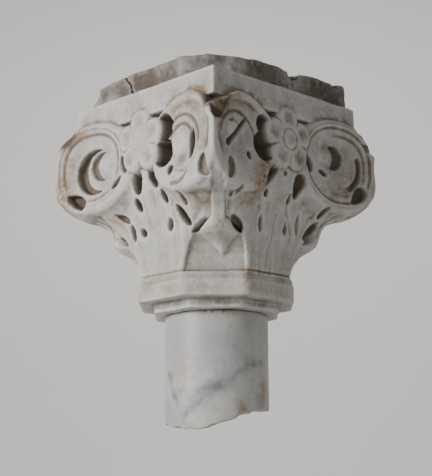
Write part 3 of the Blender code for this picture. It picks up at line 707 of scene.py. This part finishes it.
def capital_field(step):
    """Signed distance of the carved block on a grid, negative inside, with its axes."""
    xs = axis_nodes(-GRID_HALF, GRID_HALF, step)
    ys = xs.copy()
    zs = axis_nodes(GRID_FOOT, GRID_HEAD, step)
    x, y, z = xs[:, None, None], ys[None, :, None], zs[None, None, :]
    field = np.full((len(xs), len(ys), len(zs)), -500, np.float32)
    for face in range(4):
        u = xs if face in (0, 1) else -xs
        carved, _ = face_maps(face, u, zs)
        slope = steepness(carved, step)
        if face % 2 == 0:
            out = -y if face == 0 else y
            part = ((out - carved[:, None, :]) / slope[:, None, :]).astype(np.float32)
        else:
            out = x if face == 1 else -x
            part = ((out - carved[None, :, :]) / slope[None, :, :]).astype(np.float32)
        field = smooth_max(field, part, 5)
    count = len(xs)
    rows = np.arange(count)
    sums = rows[:, None] + rows[None, :]
    differences = rows[:, None] - rows[None, :] + count - 1
    spread = (np.arange(2 * count - 1) - (count - 1)) * step / math.sqrt(2)
    diagonals = (
        (0, (x - y) / math.sqrt(2), sums, 1),
        (1, (x + y) / math.sqrt(2), differences, -1),
        (2, (y - x) / math.sqrt(2), sums, -1),
        (3, (-x - y) / math.sqrt(2), differences, 1),
    )
    for corner, out, index, sign in diagonals:
        reach, _ = corner_map(corner, sign * spread, zs)
        slope = steepness(reach, step)
        part = ((out - reach[index]) / slope[index]).astype(np.float32)
        field = smooth_max(field, part, 3)
    field = np.maximum(field, (z - (ABACUS_FOOT + 16)).astype(np.float32))
    field = np.maximum(field, ((RING_TOP - 3) - z).astype(np.float32))
    abacus = box_field(x, y, z, ABACUS_HALF, ABACUS_FOOT, ABACUS_TOP, 1.6)
    worn_end = (-x - y) / math.sqrt(2) - 167.6 + 0.006 * (z + 48) ** 2
    abacus = smooth_max(abacus, worn_end, 4)
    field = np.minimum(field, abacus.astype(np.float32))
    ring_outline = (
        (RING_BAND_TOP - 1.8, RING_OUT), (RING_BAND_TOP, RING_OUT - 2.4), (RING_BAND_TOP + 1.4, RING_OUT - 1),
        (RING_BAND_TOP + 5, RING_OUT - 2.2), (RING_TOP, RING_OUT - 5.2),
    )
    ring_out = table_at(zs, ring_outline)[None, None, :]
    ring = octagon(x, y, 4)
    upper = smooth_max(ring - ring_out, np.maximum(z - RING_TOP, RING_FOOT - z), 1.6)
    field = np.minimum(field, upper.astype(np.float32))
    lower = smooth_max(ring - LOWER_RING_OUT, np.maximum(z - RING_FOOT - 4, LOWER_RING_FOOT - z), 1.2)
    field = np.minimum(field, lower.astype(np.float32))
    for place in CAPITAL_CHIPS:
        chip_off(field, xs, ys, zs, place[:3], place[3])
    return field, xs, ys, zs


def surface_mesh(field, xs, ys, zs):
    """Vertices and quads of the zero surface, one vertex in each cell that it crosses."""
    inside = field < 0
    cells = inside[:-1, :-1, :-1].astype(np.int8)
    for i, j, k in ((1, 0, 0), (0, 1, 0), (0, 0, 1), (1, 1, 0), (1, 0, 1), (0, 1, 1), (1, 1, 1)):
        a = inside[i:, :, :] if i else inside[:-1, :, :]
        b = a[:, j:, :] if j else a[:, :-1, :]
        c = b[:, :, k:] if k else b[:, :, :-1]
        cells += c
    active = np.argwhere((cells > 0) & (cells < 8))
    number = np.full(cells.shape, -1, np.int32)
    number[active[:, 0], active[:, 1], active[:, 2]] = np.arange(len(active))
    corners = [(i, j, k) for i in (0, 1) for j in (0, 1) for k in (0, 1)]
    values = {}
    for c in corners:
        values[c] = field[active[:, 0] + c[0], active[:, 1] + c[1], active[:, 2] + c[2]]
    total = np.zeros((len(active), 3))
    count = np.zeros(len(active))
    for a in corners:
        for axis in range(3):
            if a[axis] == 1:
                continue
            b = tuple(1 if i == axis else a[i] for i in range(3))
            va, vb = values[a], values[b]
            crosses = (va < 0) != (vb < 0)
            share = np.where(crosses, va / np.where(crosses, va - vb, 1), 0)
            for i in range(3):
                place = a[i] + (share if i == axis else 0)
                total[:, i] += np.where(crosses, place, 0)
            count += crosses
    places = active + total / count[:, None]
    points = [np.interp(places[:, i], np.arange(len(g)), g) for i, g in enumerate((xs, ys, zs))]
    points = np.stack(points, 1)
    quads = []
    for axis in range(3):
        low = [slice(None)] * 3
        high = [slice(None)] * 3
        low[axis], high[axis] = slice(None, -1), slice(1, None)
        a, b = inside[tuple(low)], inside[tuple(high)]
        edges = np.argwhere(a != b)
        p, q = [i for i in range(3) if i != axis]
        shape = cells.shape
        good = (edges[:, (p, q)] > 0).all(1) & (edges[:, p] < shape[p]) & (edges[:, q] < shape[q])
        edges = edges[good]
        leaving = a[edges[:, 0], edges[:, 1], edges[:, 2]]
        around = []
        for dp, dq in ((-1, -1), (0, -1), (0, 0), (-1, 0)):
            cell = edges.copy()
            cell[:, p] += dp
            cell[:, q] += dq
            around.append(number[cell[:, 0], cell[:, 1], cell[:, 2]])
        quad = np.stack(around, 1)
        turn = leaving if axis != 1 else ~leaving
        quads.append(np.where(turn[:, None], quad, quad[:, ::-1]))
    return points, np.concatenate(quads)


def lattice_noise(points, size, seed):
    """Smooth random values from -1 to 1 at points, one random value a lattice corner."""
    place = points / size
    base = np.floor(place).astype(np.int64)
    part = place - base
    part = part * part * (3 - 2 * part)
    total = np.zeros(len(points))
    for i in (0, 1):
        for j in (0, 1):
            for k in (0, 1):
                c = base + (i, j, k)
                key = (c[:, 0] * 73856093) ^ (c[:, 1] * 19349663) ^ (c[:, 2] * 83492791)
                key = key ^ (seed * 2654435761)
                key = (key ^ (key >> 13)) * 1274126177 & 0xFFFFFFFF
                value = ((key ^ (key >> 16)) & 0xFFFF) / 32767.5 - 1
                weight = np.where(i, part[:, 0], 1 - part[:, 0])
                weight = weight * np.where(j, part[:, 1], 1 - part[:, 1])
                weight = weight * np.where(k, part[:, 2], 1 - part[:, 2])
                total += value * weight
    return total


def make_mesh(name, points, quads):
    """A mesh object from points in millimetres."""
    mesh = bpy.data.meshes.new(name)
    mesh.vertices.add(len(points))
    mesh.vertices.foreach_set("co", (points * MM).astype(np.float32).ravel())
    mesh.loops.add(quads.size)
    mesh.loops.foreach_set("vertex_index", quads.astype(np.int32).ravel())
    mesh.polygons.add(len(quads))
    mesh.polygons.foreach_set("loop_start", np.arange(0, quads.size, 4, dtype=np.int32))
    mesh.update(calc_edges=True)
    mesh.validate()
    thing = bpy.data.objects.new(name, mesh)
    bpy.context.scene.collection.objects.link(thing)
    return thing


def vertex_normals(thing):
    """Vertex normals as an array."""
    normals = np.zeros(len(thing.data.vertices) * 3, np.float32)
    thing.data.vertices.foreach_get("normal", normals)
    return normals.reshape(-1, 3)


def vertex_places(thing):
    """Vertex places in millimetres."""
    places = np.zeros(len(thing.data.vertices) * 3, np.float32)
    thing.data.vertices.foreach_get("co", places)
    return places.reshape(-1, 3).astype(float) / MM


def set_places(thing, places):
    """Move the vertices to places in millimetres."""
    thing.data.vertices.foreach_set("co", (places * MM).astype(np.float32).ravel())
    thing.data.update()


def roughen(thing, layers):
    """Push the surface in and out by layers of noise: (lattice size, amount, seed)."""
    places = vertex_places(thing)
    normals = vertex_normals(thing)
    push = np.zeros(len(places))
    for size, amount, seed in layers:
        push += amount * lattice_noise(places, size, seed)
    set_places(thing, places + normals * push[:, None])


def thin(thing, most):
    """Bring a mesh under a number of triangles, keeping its form, and shade it smooth."""
    triangles = sum(len(p.vertices) - 2 for p in thing.data.polygons)
    if triangles > most:
        step = thing.modifiers.new("thin", "DECIMATE")
        step.ratio = most / triangles
        step.use_collapse_triangulate = True
        graph = bpy.context.evaluated_depsgraph_get()
        mesh = bpy.data.meshes.new_from_object(thing.evaluated_get(graph))
        thing.modifiers.clear()
        thing.data = mesh
    thing.data.polygons.foreach_set("use_smooth", [True] * len(thing.data.polygons))
    thing.data.update()


def edge_pairs(thing):
    """Vertex numbers at the two ends of every edge."""
    pairs = np.zeros(len(thing.data.edges) * 2, np.int32)
    thing.data.edges.foreach_get("vertices", pairs)
    return pairs.reshape(-1, 2)


def even_out(values, pairs, rounds):
    """Average values with their neighbours' along the edges, several times."""
    count = np.bincount(pairs.ravel(), minlength=len(values)).clip(1)
    for _ in range(rounds):
        total = np.bincount(pairs[:, 0], values[pairs[:, 1]], len(values))
        total += np.bincount(pairs[:, 1], values[pairs[:, 0]], len(values))
        values = 0.4 * values + 0.6 * total / count
    return values


def cavity_of(thing, rounds):
    """How far each vertex lies below (positive) or above its smoothed surroundings, in mm."""
    places, pairs = vertex_places(thing), edge_pairs(thing)
    soft = np.stack([even_out(places[:, i], pairs, rounds) for i in range(3)], 1)
    return ((soft - places) * vertex_normals(thing)).sum(1)


def set_attribute(thing, name, values):
    """Store one number per vertex for the materials."""
    layer = thing.data.attributes.new(name, "FLOAT", "POINT")
    layer.data.foreach_set("value", np.asarray(values, np.float32))


def keep_in_box(thing, low, high):
    """Keep every vertex a hair inside the solids' own box."""
    places = vertex_places(thing)
    set_places(thing, np.clip(places, np.array(low) / MM + 0.05, np.array(high) / MM - 0.05))


def sample_map(table, us, zs, u, z):
    """Values of a map at places between its nodes."""
    i = np.clip((u - us[0]) / (us[1] - us[0]), 0, len(us) - 1.001)
    j = np.clip((z - zs[0]) / (zs[1] - zs[0]), 0, len(zs) - 1.001)
    a, b = i.astype(int), j.astype(int)
    s, t = i - a, j - b
    low = table[a, b] * (1 - s) + table[a + 1, b] * s
    high = table[a, b + 1] * (1 - s) + table[a + 1, b + 1] * s
    return low * (1 - t) + high * t


def face_axes(places, face):
    """Places along a face, towards its right, and out of it."""
    x, y = places[:, 0], places[:, 1]
    return (x, y, -x, -y)[face], (-y, x, y, -x)[face]


def corner_axes(places, corner):
    """Places across a corner, towards its right, and out along its diagonal."""
    along, out = face_axes(places, corner)
    return (along - out) / math.sqrt(2), (along + out) / math.sqrt(2)


def hollow_depth(places, step):
    """How deep in a drilled hollow each place lies, in millimetres."""
    us = axis_nodes(-GRID_HALF, GRID_HALF, step)
    zs = axis_nodes(GRID_FOOT, GRID_HEAD, step)
    z = places[:, 2]
    depth = np.zeros(len(places))
    kinds = ((face_maps, face_axes, 4, 1, 400, 40, 0), (corner_map, corner_axes, 3, 0.7, 12, 80, -150))
    for maps, axes, under, least, most, nearest, highest in kinds:
        for side in range(4):
            across, out = axes(places, side)
            carved, plain = maps(side, us, zs)
            top = sample_map(plain, us, zs, across, z)
            floor = sample_map(carved, us, zs, across, z)
            below = np.where((out > floor - under) & (top - floor > least), top - out, 0)
            below = np.clip(below, 0, most) * (out > nearest) * (z < highest)
            depth = np.maximum(depth, below)
    return depth


def quarter_turns(x, y, count):
    """A point of the plan, turned about the axis."""
    for _ in range(count):
        x, y = -y, x
    return x, y


def face_spot(face, across, level):
    """Place of a spot on one face."""
    out = ABACUS_HALF + max(abs(across) - VOLUTE_START, 0) * math.tan(VOLUTE_TILT)
    if level < -152:
        out = float(table_at(level, SKIN)) + 4
    return *quarter_turns(across, -out, face), level


def corner_spot(corner, across, level):
    """Place of a spot on one corner."""
    table = RIDGE if level > -166 else STEM if level > -200 else NOSE
    reach = float(table_at(level, table)) / math.sqrt(2)
    across = across / math.sqrt(2)
    return *quarter_turns(reach + across, across - reach, corner), level


def spots_on(table, spot):
    """Spots of a table with their places on the faces or the corners."""
    return [(*spot(side, across, level), radius, much) for side, across, level, radius, much in table]


def spot_weight(places, spots):
    """Summed soft spots: (x, y, z, radius, strength)."""
    weight = np.zeros(len(places))
    for x, y, z, radius, strength in spots:
        away = ((places - (x, y, z)) ** 2).sum(1)
        weight = weight + strength * np.exp(-away / radius ** 2)
    return np.clip(weight, 0, 1)


def notch_shade(places):
    """Painted shade in the notches between two scrolls at the top of each corner."""
    level = places[:, 2]
    half = np.interp(level, (-99, -64), (3, 19))
    weight = np.zeros(len(places))
    for corner, low in enumerate((-101, -86, -86, -86)):
        across, out = corner_axes(places, corner)
        aside = np.abs(across - 6 / math.sqrt(2))
        near = (1 - ramp(aside, half * 0.65, half * 1.15)) * (out > 100)
        weight = np.maximum(weight, near * ramp(level, low, low + 10) * ramp(-level, 62.2, 63.4))
    return weight


def make_capital():
    """The carved block."""
    field, xs, ys, zs = capital_field(CAPITAL_STEP)
    points, quads = surface_mesh(field, xs, ys, zs)
    thing = make_mesh("carved_capital", points, quads)
    roughen(thing, CAPITAL_ROUGHNESS)
    thin(thing, CAPITAL_TRIANGLES)
    keep_in_box(thing, cad_low, cad_high)
    places = vertex_places(thing)
    spots = spots_on(FACE_STAINS, face_spot) + spots_on(CORNER_STAINS, corner_spot) + list(RING_STAINS)
    set_attribute(thing, "ochre", spot_weight(places, spots))
    # Painted shade at the floors of the deepest hollows
    set_attribute(thing, "hollow_shade", spot_weight(places, spots_on(HOLLOW_SHADE_SPOTS, face_spot)))
    # Dark lines: painted shade in the corner notches, and round the ring partly dirt, partly painted shadow
    dirt_and_shade_lines = notch_shade(places)
    for level, much in DIRT_AND_SHADOW_LINES:
        dirt_and_shade_lines = np.maximum(dirt_and_shade_lines, np.exp(-((places[:, 2] - level) / 0.95) ** 2) * much)
    set_attribute(thing, "line", dirt_and_shade_lines)
    # Depth in the drilled hollows, which darkens them: partly soil, partly painted shade
    set_attribute(thing, "hollow", np.clip(hollow_depth(places, 1.5) / 9, 0, 1))
    # Concave places darken the marble, partly dirt, partly painted shade, less so low down; raised places
    # lighten it, partly wear, partly painted highlight
    cavity_shading = np.clip(cavity_of(thing, 14), -1, 1)
    crease_darkening_share = 0.4 + 0.6 * ramp(places[:, 2], -188, -165)
    set_attribute(thing, "cavity_shading", np.where(cavity_shading > 0, cavity_shading * crease_darkening_share, cavity_shading))
    pale = np.zeros(len(places))
    across, out = corner_axes(places, 0)
    for start, end in SCRATCHES:
        away = segment(across, places[:, 2], start, end)[0]
        pale = np.maximum(pale, (1 - ramp(away, 0.4, 1.3)) * (out > 90))
    set_attribute(thing, "pale", pale)
    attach(thing, "root")
    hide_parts("capital")
    return thing


def polygon_field(x, y, corners):
    """Distance to a closed outline, negative inside it."""
    nearest = np.full(np.broadcast(x, y).shape, 1e6)
    inside = np.zeros(nearest.shape, bool)
    for (ax, ay), (bx, by) in zip(corners, corners[1:] + corners[:1]):
        nearest = np.minimum(nearest, segment(x, y, (ax, ay), (bx, by))[0])
        if ay != by:
            crosses = (y >= min(ay, by)) & (y < max(ay, by))
            inside ^= crosses & (x < ax + (y - ay) / (by - ay) * (bx - ax))
    return np.where(inside, -nearest, nearest)


def grid_noise(x, y, z, size, seed):
    """Smooth noise on a whole grid."""
    shape = np.broadcast(x, y, z).shape
    points = np.stack([np.broadcast_to(a, shape).ravel() for a in (x, y, z)], 1)
    return lattice_noise(points, size, seed).reshape(shape)


def make_slab():
    """The rough bed slab: flat above and below, its edge broken, cracked and crumbling."""
    step = SLAB_STEP
    xs = axis_nodes(-116, 116, step)
    zs = axis_nodes(SLAB_FOOT - 3, 3, step)
    x, y, z = xs[:, None, None], xs[None, :, None], zs[None, None, :]
    corners = [(a * SLAB_HALF, b * SLAB_HALF) for a, b in SLAB_OUTLINE]
    plan = polygon_field(xs[:, None], xs[None, :], corners)[:, :, None]
    worn = 0.9 + 1.2 * ramp(z, -8, 0) ** 2
    left_end = ramp((-x - y) / math.sqrt(2), 112, 140)
    worn = worn + left_end * 5 * ramp(z, -27, -10)
    worn = worn + 1.2 * grid_noise(x, y, z, 17, 11) + 0.5 * grid_noise(x, y, z, 6, 12)
    side = plan + worn
    top_wear = 0.15 + 1.3 * np.clip(grid_noise(x, y, z * 0, 15, 13), 0, 1) * ramp(plan, -22, -4)
    field = smooth_max(side, z + top_wear, 2)
    field = smooth_max(field, (SLAB_FOOT + 0.1) - z, 1.2)
    middle = CRACK_TOP - CRACK_LEAN / -SLAB_FOOT * z + 1.2 * np.sin(z * 0.35)
    wide = (1.1 + 1.5 * ramp(z, -9, 0)) * (plan + 12 >= 0) * np.clip(1 + plan / 14, 0, 1)
    near = (y < -80) & (wide > 0.2)
    field = np.where(near, np.maximum(field, wide + 0.4 - np.abs(x - middle)), field)
    field = field.astype(np.float32)
    for place in SLAB_CHIPS:
        chip_off(field, xs, xs, zs, place[:3], place[3])
    points, quads = surface_mesh(field, xs, xs, zs)
    thing = make_mesh("rough_slab", points, quads)
    roughen(thing, SLAB_ROUGHNESS)
    thin(thing, SLAB_TRIANGLES)
    keep_in_box(thing, cad_low, cad_high)
    places = vertex_places(thing)
    places[:, 2] = np.maximum(places[:, 2], SLAB_FOOT + 0.02)
    set_places(thing, places)
    set_attribute(thing, "rubble", spot_weight(places, SLAB_RUBBLE))
    # Dark patches, those at the front corner painted shade above the abacus corner
    set_attribute(thing, "dark_and_shade", spot_weight(places, SLAB_DARK_AND_SHADE))
    # Cavity measure for the slab's painted shade in hollows and paler raised edges, partly wear, partly
    # painted highlight
    set_attribute(thing, "cavity_shading", np.clip(cavity_of(thing, 10) / 0.8, -1, 1))
    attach(thing, "root")
    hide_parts("bed_slab")
    return thing


def break_level(x, y):
    """Level of the shaft's broken end under a point of its section."""
    to_corner_1 = (x + y) / math.sqrt(2) / SHAFT_RADIUS
    to_back = (y - x) / math.sqrt(2) / SHAFT_RADIUS
    rise = BREAK_RISE * ramp((to_corner_1 + 0.45) / 1.25, 0, 1)
    edge = BREAK_EDGE_RISE * np.maximum(0, -0.6 - to_corner_1) / 0.4
    back = BREAK_BACK_RISE * (to_back + 1) / 2
    inside = 1 - np.minimum(1, np.hypot(x, y) / SHAFT_RADIUS)
    return SHAFT_FOOT + rise + edge + back + BREAK_HOLLOW * ramp(inside, 0, 1)


def shaft_distance(places, angle, level):
    """Distance over the shaft's skin to a point given as an angle in degrees and a level."""
    turn = np.arctan2(places[:, 1], places[:, 0]) - math.radians(angle)
    turn = (turn + math.pi) % math.tau - math.pi
    return turn * SHAFT_RADIUS, places[:, 2] - level


def make_shaft():
    """The round shaft's head, with a worn shoulder and an uneven broken end."""
    step = SHAFT_STEP
    xs = axis_nodes(-64, 64, step)
    zs = axis_nodes(SHAFT_FOOT - 3, SHAFT_TOP + 3, step)
    x, y, z = xs[:, None, None], xs[None, :, None], zs[None, None, :]
    radial = np.hypot(x, y) - SHAFT_RADIUS + 0.15 + 0 * z
    rough = 1.5 * grid_noise(x, y, z, 10, 31) + grid_noise(x, y, z, 4.5, 32)
    foot = (break_level(x, y) + 0.4 + rough - z) * 0.85
    field = smooth_max(radial, foot, 1.5)
    field = smooth_max(field, z - SHAFT_TOP + 0.05, 3).astype(np.float32)
    for angle, radius in SHAFT_CHIPS:
        turn = math.radians(angle)
        place = (SHAFT_RADIUS * math.cos(turn), SHAFT_RADIUS * math.sin(turn), SHAFT_TOP)
        chip_off(field, xs, xs, zs, place, radius)
    points, quads = surface_mesh(field, xs, xs, zs)
    thing = make_mesh("veined_shaft", points, quads)
    roughen(thing, SHAFT_ROUGHNESS)
    thin(thing, SHAFT_TRIANGLES)
    places = vertex_places(thing)
    places[:, 2] = np.clip(places[:, 2], cad_low[2] / MM + 0.05, SHAFT_TOP - 0.02)
    set_places(thing, places)
    wander = 2.2 * lattice_noise(places, 9, 51)
    bent = places + wander[:, None]
    vein = np.zeros(len(places))
    for line, width, strength in SHAFT_VEINS:
        for start, end in zip(line, line[1:]):
            a, up = shaft_distance(bent, start[0], start[1])
            dx = math.radians(end[0] - start[0]) * SHAFT_RADIUS
            away = segment(a, up, (0, 0), (dx, end[1] - start[1]))[0]
            vein = np.maximum(vein, strength * np.exp(-(away / width) ** 2))
    stain = np.zeros(len(places))
    for angle, level, radius, strength in SHAFT_STAINS:
        a, up = shaft_distance(places, angle, level)
        stain = np.maximum(stain, strength * np.exp(-(a * a + up * up) / radius ** 2))
    broken = ramp(places[:, 2] - break_level(places[:, 0], places[:, 1]), 3, 1.5)
    set_attribute(thing, "vein", vein)
    set_attribute(thing, "ochre", stain)
    set_attribute(thing, "broken", broken)
    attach(thing, "root")
    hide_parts("shaft_fragment")
    return thing


def place_camera():
    """Camera at the photograph's angle, looking up a little at the front corner."""
    azimuth = math.radians(CAMERA_AZIMUTH)
    pitch = math.radians(CAMERA_PITCH)
    roll = math.radians(CAMERA_ROLL)
    level = Vector((-math.sin(azimuth), math.cos(azimuth), 0))
    side = Vector((math.cos(azimuth), math.sin(azimuth), 0))
    ahead = level * math.cos(pitch) + Vector((0, 0, math.sin(pitch)))
    above = -level * math.sin(pitch) + Vector((0, 0, math.cos(pitch)))
    right = side * math.cos(roll) + above * math.sin(roll)
    up = above * math.cos(roll) - side * math.sin(roll)
    data = bpy.data.cameras.new("camera")
    data.lens = CAMERA_LENS
    data.sensor_fit = "AUTO"
    data.sensor_width = 36
    camera = bpy.data.objects.new("camera", data)
    bpy.context.scene.collection.objects.link(camera)
    turn = Matrix((right, up, -ahead)).transposed().to_4x4()
    camera.matrix_world = Matrix.Translation(CAMERA_PLACE) @ turn
    bpy.context.scene.camera = camera


class Stone:
    """The nodes of one stone material, with coordinates that stay on the piece."""

    def __init__(self, name, base, colours, low, high):
        """Start from two colours, mixed by smooth noise between two of its values."""
        self.material = bpy.data.materials.new(name)
        self.material.use_nodes = True
        self.tree = self.material.node_tree
        self.shader = self.tree.nodes["Principled BSDF"].inputs
        self.where = self.make("ShaderNodeTexCoord").outputs["Object"]
        self.colour = self.mix(self.spread(self.clouds(base, 4), low, high), *colours)

    def make(self, kind, inputs=(), **settings):
        """A new node, with (input, value) pairs and settings."""
        made = self.tree.nodes.new(kind)
        for key, value in settings.items():
            setattr(made, key, value)
        for key, value in inputs:
            self.feed(made.inputs[key], value)
        return made

    def feed(self, socket, value):
        """Give a socket another socket, a colour or a number."""
        if isinstance(value, bpy.types.NodeSocket):
            self.tree.links.new(value, socket)
        elif socket.type == "RGBA":
            socket.default_value = (*value, 1)
        else:
            socket.default_value = value

    def sum(self, operation, a, b):
        """A sum on two numbers, kept from 0 to 1."""
        made = self.make("ShaderNodeMath", ((0, a), (1, b)), operation=operation, use_clamp=True)
        return made.outputs[0]

    def times(self, first, *others):
        """Numbers multiplied together."""
        for other in others:
            first = self.sum("MULTIPLY", first, other)
        return first

    def spread(self, value, low, high, start=0, end=1):
        """A number's range from low to high, mapped to start to end."""
        inputs = enumerate((value, low, high, start, end))
        return self.make("ShaderNodeMapRange", inputs, clamp=True).outputs[0]

    def mix(self, share, first, second):
        """A mix of two colours."""
        inputs = (("Factor", share), (6, first), (7, second))
        return self.make("ShaderNodeMix", inputs, data_type="RGBA", clamp_factor=True).outputs[2]

    def tint(self, share, colour):
        """Lay another colour over the stone."""
        self.colour = self.mix(share, self.colour, colour)

    def clouds(self, scale, detail=3, roughness=0.55, stretch=None):
        """Smooth noise over the stone, stretched by a scale for each axis if one is given."""
        where = self.where
        if stretch:
            where = self.make("ShaderNodeMapping", (("Vector", where), ("Scale", stretch))).outputs["Vector"]
        inputs = (("Vector", where), ("Scale", scale), ("Detail", detail), ("Roughness", roughness))
        return self.make("ShaderNodeTexNoise", inputs).outputs["Fac"]

    def painted(self, name):
        """A number stored on the mesh."""
        return self.make("ShaderNodeAttribute", attribute_name=name).outputs["Fac"]

    def finish(self, roughness, specular, height, grain):
        """Join colour, gloss and a fine bump to the shader."""
        bump = self.make("ShaderNodeBump", (("Height", height), ("Distance", grain), ("Strength", 0.6)))
        self.feed(self.shader["Base Color"], self.colour)
        self.feed(self.shader["Roughness"], roughness)
        self.feed(self.shader["Specular IOR Level"], specular)
        self.feed(self.shader["Normal"], bump.outputs["Normal"])
        return self.material


def marble_material():
    """Weathered white marble with ochre patina, dirt and painted shade in its hollows, creases and joints,
    and painted highlights on raised edges.
    """
    stone = Stone("weathered marble", 11, (MARBLE_COOL, MARBLE_WARM), 0.38, 0.62)
    middle = stone.clouds(48, 4, 0.6)
    fine = stone.clouds(260, 3, 0.6)
    tiny = stone.clouds(850, 2)
    streaks = stone.clouds(1, stretch=(90, 90, 14))
    cavity_shading = stone.painted("cavity_shading")
    stone.tint(stone.spread(middle, 0.45, 0.66, 0, 0.8), BROWN_CLOUD)
    stone.tint(stone.spread(streaks, 0.50, 0.70, 0, 0.5), GREY_STREAK)
    stone.tint(stone.spread(tiny, 0.48, 0.72, 0, 0.5), FINE_GRAIN)
    stone.tint(stone.spread(fine, 0.54, 0.70, 0, 0.5), SPECKLE)
    # Raised edges made paler: partly wear, partly painted highlight
    stone.tint(stone.spread(cavity_shading, -0.1, -0.6, 0, 0.6), WORN_EDGE_AND_HIGHLIGHT)
    # Creases and hollows made browner: partly groove dirt, partly painted shade
    sunk = stone.times(stone.spread(cavity_shading, 0.05, 0.6), stone.spread(middle, 0.3, 0.62, 0.4, 1))
    stone.tint(sunk, GROOVE_DIRT_AND_SHADE)
    ochre = stone.spread(stone.painted("ochre"), 0, 0.75)
    patchy = stone.spread(fine, 0.35, 0.62, 0.35, 1)
    stone.tint(stone.times(ochre, patchy, stone.spread(middle, 0.3, 0.6, 0.35, 1)), OCHRE)
    # Dark lines: painted shade in the corner notches, and round the ring partly dirt, partly painted shadow
    stone.tint(stone.times(stone.painted("line"), stone.spread(middle, 0.34, 0.56, 0.6, 1)), LINE_DIRT_AND_SHADE)
    # Hollows darkened the deeper they go: partly soil, partly painted shade
    soil_and_shade = stone.mix(stone.spread(middle, 0.35, 0.65), *HOLLOW_SOIL_AND_SHADE)
    # Painted shade: floors of the deepest hollows turned nearly black
    soil_and_shade = stone.mix(stone.painted("hollow_shade"), soil_and_shade, HOLLOW_SHADE_BLACK)
    stone.tint(stone.spread(stone.painted("hollow"), 0.1, 1, 0, 0.9), soil_and_shade)
    stone.tint(stone.times(stone.painted("pale"), 0.8), SCRATCH)
    grain = stone.sum("ADD", stone.times(fine, 0.6), stone.times(tiny, 0.4))
    return stone.finish(stone.spread(fine, 0.3, 0.7, 0.55, 0.75), 0.35, grain, 0.0022)


def bed_stone_material():
    """Rough brown-grey stone with pale crumbling patches."""
    stone = Stone("bed stone", 16, BED_STONE, 0.38, 0.62)
    middle = stone.clouds(70, 5, 0.65)
    fine = stone.clouds(330, 3, 0.65)
    cavity_shading = stone.painted("cavity_shading")
    stone.tint(stone.spread(middle, 0.5, 0.75, 0, 0.5), BED_CLOUD)
    stone.tint(stone.times(stone.painted("rubble"), stone.spread(middle, 0.34, 0.50, 0.35, 1)), BED_RUBBLE)
    # Dark grey patches, those at the front corner painted shade above the abacus corner
    stone.tint(stone.times(stone.painted("dark_and_shade"), stone.spread(middle, 0.3, 0.55, 0.4, 0.9)), BED_DARK_AND_SHADE)
    stone.tint(stone.spread(fine, 0.55, 0.75, 0, 0.5), BED_SPECKLE)
    # Painted shade in the hollows and cracks; raised edges paler, partly wear, partly painted highlight
    stone.tint(stone.spread(cavity_shading, 0.1, 0.8, 0, 0.8), BED_GROOVE_SHADE)
    stone.tint(stone.spread(cavity_shading, -0.15, -0.8, 0, 0.5), BED_EDGE_WEAR_AND_HIGHLIGHT)
    grain = stone.sum("ADD", stone.times(fine, 0.6), stone.times(middle, 0.4))
    return stone.finish(0.85, 0.25, grain, 0.0022)


def veined_marble_material():
    """Smooth white marble with blue-grey veins, rust spots and a rough break."""
    stone = Stone("veined marble", 12, SHAFT_MARBLE, 0.40, 0.60)
    middle = stone.clouds(55, 5, 0.62)
    fine = stone.clouds(300, 3, 0.6)
    broken = stone.painted("broken")
    stone.tint(stone.spread(middle, 0.49, 0.66, 0, 0.6), SHAFT_CLOUD)
    stone.tint(stone.times(stone.painted("vein"), stone.spread(middle, 0.32, 0.58, 0.3, 1)), VEIN)
    stone.tint(stone.times(stone.painted("ochre"), stone.spread(fine, 0.35, 0.6, 0.3, 1)), RUST)
    stone.tint(stone.times(broken, 0.6), BROKEN_MARBLE)
    stone.tint(stone.spread(fine, 0.55, 0.72, 0, 0.4), SHAFT_SPECKLE)
    return stone.finish(stone.spread(broken, 0, 1, 0.42, 0.8), 0.4, fine, 0.0005)


def make_room():
    """Pale floor that turns up into a pale wall all round."""
    steps = 96
    profile = [(0, 0), (ROOM_RADIUS - 1, 0)]
    for i in range(1, 9):
        angle = i / 8 * math.pi / 2
        profile.append((ROOM_RADIUS - 1 + math.sin(angle), 1 - math.cos(angle)))
    profile.append((ROOM_RADIUS, ROOM_HEIGHT))
    vertices = [(0, 0, FLOOR_LEVEL)]
    for out, up in profile[1:]:
        for i in range(steps):
            angle = i * math.tau / steps
            vertices.append((out * math.cos(angle), out * math.sin(angle), FLOOR_LEVEL + up))
    faces = [(0, 1 + i, 1 + (i + 1) % steps) for i in range(steps)]
    for ring in range(len(profile) - 2):
        low = 1 + ring * steps
        for i in range(steps):
            j = (i + 1) % steps
            faces.append((low + i, low + steps + i, low + steps + j, low + j))
    mesh = bpy.data.meshes.new("floor")
    mesh.from_pydata(vertices, [], faces)
    mesh.polygons.foreach_set("use_smooth", [True] * len(mesh.polygons))
    floor = bpy.data.objects.new("floor", mesh)
    bpy.context.scene.collection.objects.link(floor)
    material = bpy.data.materials.new("pale floor")
    material.use_nodes = True
    shader = material.node_tree.nodes["Principled BSDF"].inputs
    shader["Base Color"].default_value = (*FLOOR_COLOUR, 1)
    shader["Roughness"].default_value = 0.9
    mesh.materials.append(material)


def make_lights():
    """Soft key from the left, weak fill, a light on the wall and pale surroundings."""
    for name, place, aim, size, power, colour in LIGHTS:
        data = bpy.data.lights.new(name, "AREA")
        data.size = size
        data.energy = power
        data.color = colour
        lamp = bpy.data.objects.new(name, data)
        bpy.context.scene.collection.objects.link(lamp)
        lamp.location = place
        lamp.rotation_euler = (Vector(aim) - Vector(place)).to_track_quat("-Z", "Y").to_euler()
    world = bpy.data.worlds.new("soft light")
    world.use_nodes = True
    sky = world.node_tree.nodes["Background"].inputs
    sky["Color"].default_value = (*SKY_COLOUR, 1)
    sky["Strength"].default_value = SKY_STRENGTH
    bpy.context.scene.world = world


place_camera()
make_room()
make_lights()
pieces = (
    (make_capital(), marble_material()),
    (make_slab(), bed_stone_material()),
    (make_shaft(), veined_marble_material()),
)
for piece, material in pieces:
    piece.data.materials.clear()
    piece.data.materials.append(material)
